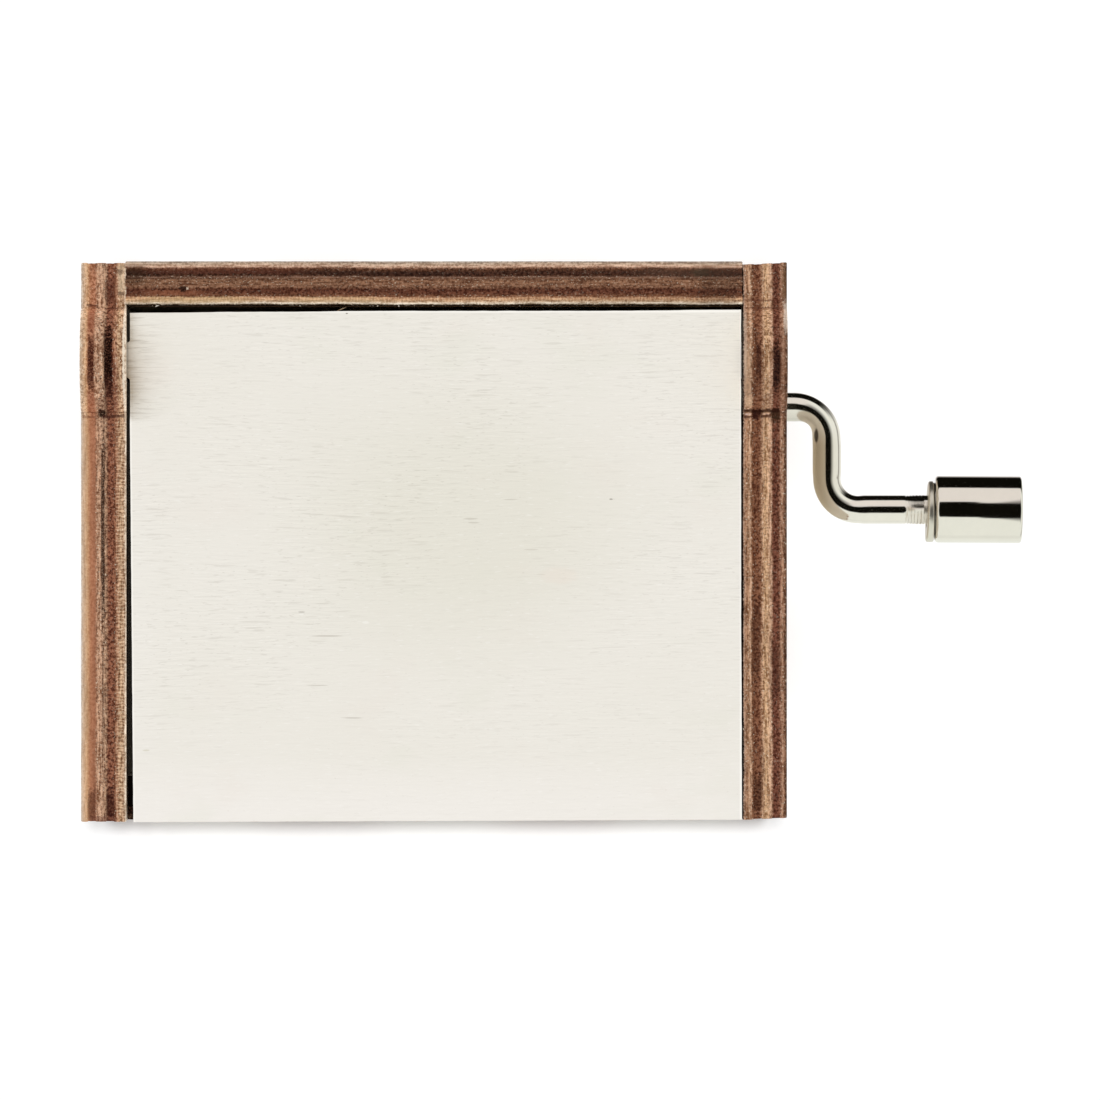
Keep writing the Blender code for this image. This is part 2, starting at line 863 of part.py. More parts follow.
# the thread's middle crosses x = DRUM_X where it faces the wheel, straight down
phase = ((THREAD_X[0] - DRUM_X) / LEAD % 1.0) * 2 * math.pi - math.pi / 2
ring = []
for r, half in ((1.3, 0.58), (2.75, 0.22)):
    for side in (-1, 1):
        ring.append((r, side * half))
section = [ring[0], ring[2], ring[3], ring[1]]
start = [
    thread.verts.new(
        (
            (THREAD_X[0] + dx) * MM,
            r * math.cos(phase) * MM,
            r * math.sin(phase) * MM,
        )
    )
    for r, dx in section
]
first = thread.faces.new(start)
bmesh.ops.spin(
    thread,
    geom=[first, *first.edges, *first.verts],
    cent=(0, 0, 0),
    axis=(1, 0, 0),
    dvec=(LEAD / per_turn * MM, 0, 0),
    angle=2 * math.pi * steps / per_turn,
    steps=steps,
    use_duplicate=False,
)
bmesh.ops.recalc_face_normals(thread, faces=thread.faces)
thread_mesh = bpy.data.meshes.new("worm_thread")
thread.to_mesh(thread_mesh)
thread.free()
thread_obj = place(
    bpy.data.objects.new("worm_thread", thread_mesh), at(0, CRANK_Y, CRANK_Z), True
)
brass(hang(join(shaft, thread_obj), crank_axis))

bush = turned(
    "worm_bush",
    [
        (3.6, 17.0),
        (3.9, 16.7),
        (3.9, 16.26),
        (2.93, 16.26),
        (2.93, 13.15),
        (1.68, 13.15),
        (1.68, 17.0),
    ],
    on_crank,
    28,
    closed=True,
)
brass(bush)


def clip_outline():
    """Open retaining ring as (y, z) about the shaft, its mouth pointing down."""
    pts = []
    for i in range(19):
        t = math.radians(-90 + 34 + (360 - 68) * i / 18)
        pts.append((2.3 * math.cos(t), 2.3 * math.sin(t)))
    for i in range(15):
        t = math.radians(-90 - 44 - (360 - 88) * i / 14)
        pts.append((0.9 * math.cos(t), 0.9 * math.sin(t)))
    return pts


clip = flat(
    "worm_clip",
    [[(CRANK_Y + u, CRANK_Z + v) for u, v in clip_outline()]],
    0.3,
    at(-3.15, 0, 0, PLANE_YZ),
)
steel(hang(clip, crank_axis))


def wire_path():
    """Centre line of the crank wire outside its threaded end, in (x, y)."""
    pts = [(20.65, CRANK_Y), (28.0, CRANK_Y), (ARM_X - BEND_1, CRANK_Y)]
    n = 7
    for i in range(1, n + 1):
        t = math.radians(90 - 90 * i / n)
        pts.append(
            (
                ARM_X - BEND_1 + BEND_1 * math.cos(t),
                CRANK_Y - BEND_1 + BEND_1 * math.sin(t),
            )
        )
    for i in range(n + 1):
        t = math.radians(180 + 90 * i / n)
        pts.append(
            (
                ARM_X + BEND_2 + BEND_2 * math.cos(t),
                KNOB_Y + BEND_2 + BEND_2 * math.sin(t),
            )
        )
    pts.append((KNOB_X[1] - 0.9, KNOB_Y))
    return pts


line = bpy.data.curves.new("crank_arm_line", "CURVE")
line.dimensions = "3D"
line.bevel_depth = WIRE_R * MM
line.bevel_resolution = 3
line.use_fill_caps = True
path = line.splines.new("POLY")
points = wire_path()
path.points.add(len(points) - 1)
for p, (x, y) in zip(path.points, points, strict=True):
    p.co = (x * MM, y * MM, CRANK_Z * MM, 1)
guide = bpy.data.objects.new("crank_arm_line", line)
bpy.context.scene.collection.objects.link(guide)
arm = meshed(guide, "crank_arm", Matrix.Identity(4))
# threaded end inside the shaft, the riveted end in the knob, and the two
# pinched ears that keep the washer from sliding back along the wire
thread_end = rod(
    "crank_thread", 1.0, 6.6, at(14.6, CRANK_Y, CRANK_Z, ALONG_X), 16
)
rivet = rod(
    "crank_rivet", 1.95, 0.7, at(KNOB_X[1] - 1.15, KNOB_Y, CRANK_Z, ALONG_X), 20
)
ears = flat(
    "crank_ears",
    [
        [
            (43.5, -1.0),
            (44.5, -1.72),
            (45.2, -1.72),
            (45.2, 1.72),
            (44.5, 1.72),
            (43.5, 1.0),
        ]
    ],
    0.8,
    at(0, KNOB_Y, CRANK_Z, PLANE_XZ),
    True,
)
steel(hang(join(arm, thread_end, rivet, ears), crank_axis))

knob_axis = bpy.data.objects.new("knob_axis", None)
place(knob_axis, at(KNOB_X[0], KNOB_Y, CRANK_Z))
hang(knob_axis, crank_axis)
on_knob = at(0, KNOB_Y, CRANK_Z, ALONG_X)
washer = turned(
    "knob_washer",
    [
        (WASHER_R - 0.15, WASHER_X[1]),
        (WASHER_R, WASHER_X[1] - 0.15),
        (WASHER_R, WASHER_X[0] + 0.2),
        (WASHER_R - 0.2, WASHER_X[0]),
        (1.52, WASHER_X[0]),
        (1.52, WASHER_X[1]),
    ],
    at(0, KNOB_Y - WASHER_SAG, CRANK_Z, ALONG_X),
    32,
    closed=True,
)
steel(hang(washer, crank_axis))
knob = turned(
    "crank_knob",
    [
        (KNOB_R - 0.35, KNOB_X[1]),
        (KNOB_R - 0.1, KNOB_X[1] - 0.1),
        (KNOB_R, KNOB_X[1] - 0.35),
        (KNOB_R, KNOB_X[0] + 0.25),
        (KNOB_R - 0.25, KNOB_X[0]),
        (1.45, KNOB_X[0]),
        (1.45, KNOB_X[1] - 1.25),
        (2.15, KNOB_X[1] - 1.25),
        (2.15, KNOB_X[1]),
    ],
    on_knob,
    36,
    closed=True,
)
steel(hang(knob, knob_axis))

lid_axis = bpy.data.objects.new("lid_axis", None)
place(lid_axis, at(0, PIVOT_Y, PIVOT_Z))
hang(lid, lid_axis)

for obj in PARTS.objects:
    if obj.type == "MESH":
        obj.data.shade_smooth()
        obj.data.set_sharp_from_angle(angle=math.radians(35))
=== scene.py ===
"""Looks of the small hinged plywood music box with a hand crank.

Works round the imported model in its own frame: +Z up, the crank at +X, the
hinge at +Y. Lengths written here are millimetres unless a name says otherwise.
"""

import math
import random

import bmesh
import bpy
import numpy as np
from mathutils import Matrix, Vector, noise
from mathutils.geometry import delaunay_2d_cdt


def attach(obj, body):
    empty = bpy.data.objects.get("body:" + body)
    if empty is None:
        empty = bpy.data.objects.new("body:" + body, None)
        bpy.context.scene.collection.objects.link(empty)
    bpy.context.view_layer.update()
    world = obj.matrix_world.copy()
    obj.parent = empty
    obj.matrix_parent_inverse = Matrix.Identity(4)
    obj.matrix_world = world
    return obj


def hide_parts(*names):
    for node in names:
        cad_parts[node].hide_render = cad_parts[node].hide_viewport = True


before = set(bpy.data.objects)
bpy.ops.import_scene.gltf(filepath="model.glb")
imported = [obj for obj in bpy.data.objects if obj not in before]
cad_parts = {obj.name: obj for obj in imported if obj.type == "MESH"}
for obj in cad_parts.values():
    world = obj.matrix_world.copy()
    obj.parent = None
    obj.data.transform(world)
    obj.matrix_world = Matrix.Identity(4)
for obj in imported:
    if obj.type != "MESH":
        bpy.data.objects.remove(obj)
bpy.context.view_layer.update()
scene = bpy.context.scene
MM = 0.001

# ------------------------------------------------------------------ sizes, mm
PLY = 4.0
HALF_W = 32.0
Y_FRONT = -25.3
Y_BACK = 25.3
RIM_Z = 40.0
GLUE = 0.05
IN_W = HALF_W - PLY
Y_BACK_OUT = Y_BACK + 0.15
Y_BACK_IN = Y_BACK_OUT - PLY
Y_FRONT_IN = Y_FRONT + PLY
TABS_Z = ((8.0, 16.0), (24.0, 32.0))
TABS_Y = ((-15.2, -5.1), (5.1, 15.2))
TABS_X = ((-17.0, -6.0), (6.0, 17.0))
LID_X = (-27.6, 27.852)
LID_Y = (-25.42, 20.9)
PIVOT_Y = 16.48
PIVOT_Z = RIM_Z - PLY / 2
EAR_HALF = 1.6
EAR_END = 31.9
EAR_STEP = (27.96, 28.03)
EAR_HOLE_R = 2.7
HUMP_R = 5.2
CRANK_Y = 12.6
CRANK_Z = 22.0
KNOB_Y = CRANK_Y - 9.57
CRANK_HOLE_R = 2.75
WIRE_R = 1.32
ARM_X = 36.23
BEND_1 = 3.05
BEND_2 = 2.9
WASHER_X = (45.525, 46.12)
WASHER_R = 2.83
WASHER_SAG = 0.19
KNOB_X = (46.22, 54.28)
KNOB_R = 3.1
TEETH = 18
WHEEL_R = 5.4
WORM_R = 2.2
LEAD = 2 * math.pi * WHEEL_R / TEETH
DRUM_X = 7.0
DRUM_Z = CRANK_Z - WHEEL_R - WORM_R
DRUM_R = 6.5
DRUM_IN_R = 5.9
DRUM_Y = (-12.35, 9.95)
PIN_H = 0.45
NOTES = 18
PITCH = 1.17
TRACK_MID = -0.9
MOUNTS_XY = ((-17.0, TRACK_MID), (16.6, -9.0), (16.6, 6.0))

# ------------------------------------------------------------ camera and light
scene.view_settings.view_transform = "Standard"
scene.view_settings.look = "None"

lens = bpy.data.cameras.new("camera")
lens.sensor_width = 36.0
lens.lens = 36.0 * 740.0 / 99.73
lens.clip_start = 0.01
lens.clip_end = 20.0
camera = bpy.data.objects.new("camera", lens)
camera.location = (0.01052, -0.00073, RIM_Z * MM + 0.740)
scene.collection.objects.link(camera)
scene.camera = camera

KEY = 0.55  # share of the light that comes from the overhead lamp
FILL = 0.45  # share that comes from the white room


def sun(name, tilt, lean, spread, share):
    """A lamp overhead; shadows fall forward by tilt and left by lean, degrees."""
    data = bpy.data.lights.new(name, "SUN")
    data.energy = share * math.pi
    data.angle = math.radians(spread)
    obj = bpy.data.objects.new(name, data)
    obj.rotation_euler = (-math.radians(tilt), math.radians(lean), 0)
    obj.visible_glossy = False
    scene.collection.objects.link(obj)


# one wide lamp, as its two halves
sun("key_right", 2.97, 2.3, 2.2, KEY * 0.6)
sun("key_left", 2.97, -0.8, 2.2, KEY * 0.4)


# ----------------------------------------------------------------- node helper
class Graph:
    """Short forms for building a shader's node tree."""

    def __init__(self, tree):
        self.tree = tree
        self.x = 0

    def add(self, kind, **settings):
        node = self.tree.nodes.new(kind)
        self.x += 40
        node.location = (self.x, 0)
        for key, value in settings.items():
            setattr(node, key, value)
        return node

    def put(self, socket, value):
        if value is None:
            return
        if isinstance(value, bpy.types.NodeSocket):
            self.tree.links.new(value, socket)
        elif hasattr(value, "__len__"):
            want = len(socket.default_value)
            value = tuple(value)
            socket.default_value = (value + (1.0,))[:want] if len(value) < want else value[:want]
        elif hasattr(socket.default_value, "__len__"):
            socket.default_value = (value,) * len(socket.default_value)
        else:
            socket.default_value = value

    def math(self, how, a, b=None, clamp=False):
        node = self.add("ShaderNodeMath", operation=how, use_clamp=clamp)
        for i, value in enumerate((a, b)):
            self.put(node.inputs[i], value)
        return node.outputs[0]

    def coords(self):
        """Object coordinates in millimetres."""
        node = self.add("ShaderNodeTexCoord")
        self.facing = node.outputs["Normal"]
        return self.scaled(node.outputs["Object"], 1000.0)

    def scaled(self, vector, by):
        node = self.add("ShaderNodeVectorMath", operation="MULTIPLY")
        self.put(node.inputs[0], vector)
        self.put(node.inputs[1], (by,) * 3 if not hasattr(by, "__len__") else by)
        return node.outputs[0]

    def shifted(self, vector, by):
        node = self.add("ShaderNodeVectorMath", operation="ADD")
        self.put(node.inputs[0], vector)
        self.put(node.inputs[1], by)
        return node.outputs[0]

    def split(self, vector):
        node = self.add("ShaderNodeSeparateXYZ")
        self.put(node.inputs[0], vector)
        return node.outputs

    def joined(self, x, y, z):
        node = self.add("ShaderNodeCombineXYZ")
        for i, value in enumerate((x, y, z)):
            self.put(node.inputs[i], value)
        return node.outputs[0]

    def noise(self, vector, scale, detail, rough=0.5):
        node = self.add("ShaderNodeTexNoise", noise_dimensions="3D")
        self.put(node.inputs["Vector"], vector)
        node.inputs["Scale"].default_value = scale
        node.inputs["Detail"].default_value = detail
        node.inputs["Roughness"].default_value = rough
        return node.outputs["Fac"]

    def ramp(self, value, stops, how="LINEAR"):
        """Colour ramp; a stop is (place, colour or grey)."""
        node = self.add("ShaderNodeValToRGB")
        self.put(node.inputs[0], value)
        band = node.color_ramp
        band.interpolation = how
        while len(band.elements) > 1:
            band.elements.remove(band.elements[-1])
        for i, (place, colour) in enumerate(stops):
            spot = band.elements[0] if i == 0 else band.elements.new(place)
            spot.position = place
            if not hasattr(colour, "__len__"):
                colour = (colour,) * 3
            spot.color = (*colour[:3], 1.0)
        return node.outputs[0]

    def step(self, value, low, high, a=0.0, b=1.0):
        """a below low, b above high, smooth between."""
        node = self.add("ShaderNodeMapRange", interpolation_type="SMOOTHSTEP")
        self.put(node.inputs[0], value)
        node.inputs[1].default_value = low
        node.inputs[2].default_value = high
        node.inputs[3].default_value = a
        node.inputs[4].default_value = b
        return node.outputs[0]

    def mix(self, share, a, b):
        node = self.add("ShaderNodeMix", data_type="RGBA")
        node.clamp_factor = True
        self.put(node.inputs[0], share)
        self.put(node.inputs[6], a)
        self.put(node.inputs[7], b)
        return node.outputs[2]

    def times(self, colour, value):
        """A colour scaled by a grey value."""
        node = self.add("ShaderNodeVectorMath", operation="SCALE")
        self.put(node.inputs[0], colour)
        self.put(node.inputs[3], value)
        return node.outputs[0]

    def bump(self, height, distance, strength):
        node = self.add("ShaderNodeBump")
        self.put(node.inputs["Height"], height)
        node.inputs["Strength"].default_value = strength
        node.inputs["Distance"].default_value = distance * MM
        return node.outputs["Normal"]


def lin(r, g, b):
    """Linear colour from 0-255 display levels."""
    out = []
    for level in (r, g, b):
        c = level / 255
        out.append(c / 12.92 if c <= 0.04045 else ((c + 0.055) / 1.055) ** 2.4)
    return tuple(out)


def material(name, **constants):
    """A fresh Principled material: (material, graph, shader node)."""
    mat = bpy.data.materials.new(name)
    mat.use_nodes = True
    tree = mat.node_tree
    tree.nodes.clear()
    graph = Graph(tree)
    out = graph.add("ShaderNodeOutputMaterial")
    shader = graph.add("ShaderNodeBsdfPrincipled")
    tree.links.new(shader.outputs[0], out.inputs[0])
    for key, value in constants.items():
        graph.put(shader.inputs[key.replace("_", " ")], value)
    return mat, graph, shader


# ------------------------------------------------------------------- the studio
world = bpy.data.worlds.new("studio")
world.use_nodes = True
world.cycles.sampling_method = "NONE"
scene.world = world
g = Graph(world.node_tree)
world.node_tree.nodes.clear()
out = g.add("ShaderNodeOutputWorld")
ways = g.add("ShaderNodeTexCoord").outputs["Generated"]
path = g.add("ShaderNodeLightPath")
dx, dy, dz = g.split(ways)
# what the polished metal sees: a dark gap overhead, a white sheet in front and
# to the right, a beige wall behind and to the left, dark floor behind it, and
# the white table close by
front = g.step(dy, -0.03, 0.03, 1.0, 0.0)
right = g.step(dx, 0.2, 0.5)
white = g.math("MAXIMUM", front, right)
side = g.mix(white, (0.877, 0.850, 0.840), (0.925, 0.967, 0.932))
# the gap's long edges slant a little, and it fades out slowly to the right
slant = g.math("MULTIPLY", g.math("SUBTRACT", dx, 0.0525), 5.0)
slant = g.math("MINIMUM", g.math("MAXIMUM", slant, -0.03), 0.03)
across = g.math("ADD", dy, slant)
off = g.math("ADD", g.math("MULTIPLY", dx, dx), g.math("MULTIPLY", across, across))
off = g.math("SUBTRACT", off, g.math("MULTIPLY", white, 0.062))
fade = g.step(dx, 0.08, 0.32, 0.03, 0.48)
gap = g.math("DIVIDE", g.math("SUBTRACT", off, 0.155), fade, clamp=True)
ceiling = g.math("MULTIPLY", g.math("SUBTRACT", 1.0, gap), g.step(dz, 0.2, 0.4))
behind = g.math("MULTIPLY", g.step(dz, 0.14, 0.20, 1.0, 0.0), g.step(dy, 0.1, 0.3))
behind = g.math("MULTIPLY", behind, g.step(dz, -1.02, -0.78))
behind = g.math("MULTIPLY", behind, g.step(g.math("SUBTRACT", dx, g.math("MULTIPLY", dy, 0.9)), -0.15, 0.60, 1.0, 0.0))
horizon = g.math("MULTIPLY", g.step(dz, -0.58, -0.42), g.step(dz, -0.30, -0.14, 1.0, 0.0))
horizon = g.math("MULTIPLY", horizon, g.step(dx, 0.35, 0.6, 0.08, 0.72))
side = g.mix(horizon, side, lin(112, 104, 102))
dark = g.math("MAXIMUM", ceiling, behind)
shine = g.mix(dark, side, lin(14, 13, 9))
sky = g.mix(path.outputs["Is Glossy Ray"], (FILL, FILL, FILL), shine)
sky = g.mix(path.outputs["Is Camera Ray"], sky, (1.0, 1.0, 1.0))
back = g.add("ShaderNodeBackground")
g.put(back.inputs[0], sky)
world.node_tree.links.new(back.outputs[0], out.inputs[0])

floor_mesh = bpy.data.meshes.new("floor")
floor_mesh.from_pydata([(-3, -3, 0), (3, -3, 0), (3, 3, 0), (-3, 3, 0)], [], [(0, 1, 2, 3)])
floor = bpy.data.objects.new("floor", floor_mesh)
floor.location = (0, 0, -0.02 * MM)
floor.visible_glossy = False
scene.collection.objects.link(floor)
mat, g, shader = material("floor_paper", Roughness=1.0, Specular_IOR_Level=0.0)
shader.inputs["Emission Strength"].default_value = 0.16
g.put(shader.inputs["Emission Color"], (1.0, 1.0, 1.0))
grain = g.noise(g.coords(), 0.6, 4.0)
g.put(shader.inputs["Base Color"], g.ramp(grain, [(0.3, (0.894, 0.904, 0.916)), (0.7, (0.904, 0.914, 0.926))]))
floor_mesh.materials.append(mat)

# --------------------------------------------------------------- mesh helpers


def wobble(p, size, seed=0.0):
    """Smooth noise between -1 and 1 at a point in mm; size is its wavelength."""
    return noise.noise(Vector((p[0] / size + seed * 17.3, p[1] / size - seed * 9.1, p[2] / size + seed * 5.7)))


def add_object(name, mesh, body, replaces=(), materials=()):
    obj = bpy.data.objects.new(name, mesh)
    scene.collection.objects.link(obj)
    for m in materials:
        mesh.materials.append(m)
    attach(obj, body)
    if replaces:
        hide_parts(*replaces)
    return obj


def resample(loop, step):
    """The closed outline with points no further apart than step, corners kept."""
    pts = []
    for (u0, v0), (u1, v1) in zip(loop, loop[1:] + loop[:1], strict=True):
        n = max(1, math.ceil(math.hypot(u1 - u0, v1 - v0) / step - 1e-6))
        pts += [(u0 + (u1 - u0) * i / n, v0 + (v1 - v0) * i / n) for i in range(n)]
    return pts


def inward(loop, hole):
    """Unit directions into the material at each point of an outline."""
    pts = np.array(loop)
    ahead = np.roll(pts, -1, axis=0) - pts
    ahead /= np.linalg.norm(ahead, axis=1)[:, None]
    left = np.stack([-ahead[:, 1], ahead[:, 0]], axis=1)
    area = np.sum(pts[:, 0] * np.roll(pts[:, 1], -1) - np.roll(pts[:, 0], -1) * pts[:, 1])
    if (area < 0) != hole:
        left = -left
    both = left + np.roll(left, 1, axis=0)
    size = np.linalg.norm(both, axis=1)[:, None]
    return both / np.maximum(size**2 / 2, 0.5)


def inside_many(points, loops):
    """Even-odd test of many points against closed outlines."""
    odd = np.zeros(len(points), bool)
    u, v = points[:, 0], points[:, 1]
    for loop in loops:
        a = np.array(loop)
        b = np.roll(a, -1, axis=0)
        for (u0, v0), (u1, v1) in zip(a, b, strict=True):
            if v0 == v1:
                continue
            hit = ((v0 > v) != (v1 > v)) & (u < u0 + (v - v0) * (u1 - u0) / (v1 - v0))
            odd ^= hit
    return odd


def circle(cx, cy, r, n):
    step = 2 * math.pi / n
    return [(cx + r * math.cos(i * step), cy + r * math.sin(i * step)) for i in range(n)]


PLIES = (0.0, 0.6, 1.32, 2.28, 2.98, 4.0)  # from the show face inwards
SUNK = (0.0, 0.045, 0.012, 0.05, 0.004)  # how far each ply's edge burned back


def panel(name, loops, to_frame, body, materials, seed, warp=None, rim=0.07, ties=()):
    """A sheet of five-ply cut by laser.

    loops are its outline and its holes in the sheet's own plane; to_frame(u, v, w) gives the
    place in the frame of depth w from the show face. Plies burn back by
    different amounts, both rims are worn round, and the outline wanders a little.
    A tie is a pair of outline points that the faces may not run across.
    """
    loops = [resample(loop, 0.34) for loop in loops]
    flat_pts = [p for loop in loops for p in loop]
    edges, first = [], 0
    for loop in loops:
        n = len(loop)
        edges += [(first + i, first + (i + 1) % n) for i in range(n)]
        first += n
    inner = [tuple(min(range(len(flat_pts)), key=lambda i, q=q: math.dist(flat_pts[i], q)) for q in tie) for tie in ties]
    points, _, faces, orig, *_ = delaunay_2d_cdt([Vector(p) for p in flat_pts], edges + inner, [], 1, 1e-6)
    index = [o[0] if o else None for o in orig]
    if None in index or len(points) != len(flat_pts):
        raise RuntimeError(f"{name}: outline crosses itself")
    middles = np.array([np.mean([points[i][:] for i in f], axis=0) for f in faces])
    keep = inside_many(middles, loops)
    faces = [tuple(index[i] for i in f) for f, k in zip(faces, keep, strict=True) if k]
    into = np.concatenate([inward(loop, i > 0) for i, loop in enumerate(loops)])
    flat_pts = np.array(flat_pts)

    # levels through the thickness: (depth, base inset, how rough)
    chips = 0.22 if rim > 0.01 else 0.05
    levels = [(0.0, rim + (0.05 if rim > 0.01 else 0.012), 1.0), (0.03, rim * 0.45, 0.8), (0.11, 0.0, 0.5)]
    for i in range(5):
        low = max(PLIES[i] + 0.035, 0.13)
        high = min(PLIES[i + 1] - 0.035, PLY - 0.13)
        inset = SUNK[i]
        count = 3
        for j in range(count):
            bulge = 0.012 if j == 1 else 0.0
            levels.append((low + (high - low) * j / (count - 1), inset - bulge, 1.0))
    levels += [(PLY - 0.11, 0.0, 0.5), (PLY - 0.03, rim * 0.45, 0.8), (PLY, rim + 0.05, 1.0)]

    verts = []
    for depth, inset, rough in levels:
        at_rim = depth < 0.02 or depth > PLY - 0.02
        for (u, v), d in zip(flat_pts, into, strict=True):
            p = (u, v, depth)
            shift = inset
            shift += rough * (0.016 * wobble((u, v, depth * 1.5), 1.3, seed) + 0.012 * wobble((u, v, depth * 3), 0.5, seed + 2))
            if at_rim:
                chip = wobble((u, v, depth * 9), 1.1, seed + 5)
                shift += max(0.0, chip - 0.28) * chips
            pu, pv = u + d[0] * shift, v + d[1] * shift
            spot = to_frame(pu, pv, depth)
            verts.append(warp(spot) if warp else spot)
    n = len(flat_pts)
    mesh = bpy.data.meshes.new(name)
    quads, mats = [], []
    for k in range(len(levels) - 1):
        for a, b in edges:
            quads.append((k * n + a, k * n + b, (k + 1) * n + b, (k + 1) * n + a))
            mats.append(0 if k == 0 and rim < 0.01 else 1)
    last = (len(levels) - 1) * n
    caps = [tuple(f) for f in faces] + [tuple(last + i for i in reversed(f)) for f in faces]
    mesh.from_pydata([Vector(p) * MM for p in verts], [], quads + caps)
    mesh.polygons.foreach_set("material_index", mats + [0] * len(caps))
    mesh.polygons.foreach_set("use_smooth", [True] * len(quads) + [False] * len(caps))
    work = bmesh.new()
    work.from_mesh(mesh)
    bmesh.ops.recalc_face_normals(work, faces=work.faces)
    work.to_mesh(mesh)
    work.free()
    mesh.set_sharp_from_angle(angle=math.radians(50))
    mesh.polygons.foreach_set("use_smooth", [True] * len(quads) + [False] * len(caps))
    return add_object(name, mesh, body, [name], materials)


# ------------------------------------------------------------- wood materials


NICKS = [  # x, y, half length, half width, levels, strength
    (16.05, 3.88, 0.20, 0.09, (70, 54, 42), 0.48),
    (3.3, 2.10, 0.75, 0.10, (120, 104, 84), 0.20),
    (3.6, 1.75, 0.60, 0.08, (104, 90, 72), 0.20),
    (9.7, -2.95, 0.50, 0.08, (110, 84, 60), 0.10),
    (8.8, -0.70, 0.70, 0.08, (126, 110, 90), 0.16),
    (11.3, -3.05, 1.9, 0.85, (236, 214, 200), 0.16),
    (7.0, 3.85, 0.75, 0.07, (120, 106, 88), 0.18),
    (-12.0, -6.35, 0.35, 0.10, (96, 82, 66), 0.24),
    (-12.0, -6.55, 0.30, 0.10, (252, 250, 244), 0.4),
    (-9.6, -8.52, 1.7, 0.07, (122, 106, 88), 0.34),
    (-10.6, -13.0, 1.0, 0.07, (110, 92, 72), 0.24),
    (-7.4, -15.95, 1.1, 0.07, (112, 96, 78), 0.28),
    (-6.2, -7.3, 0.35, 0.14, (252, 250, 244), 0.4),
    (-26.1, -18.9, 0.35, 0.10, (196, 190, 164), 0.4),
    (-7.9, 20.72, 0.13, 0.06, (90, 74, 60), 0.7),
]


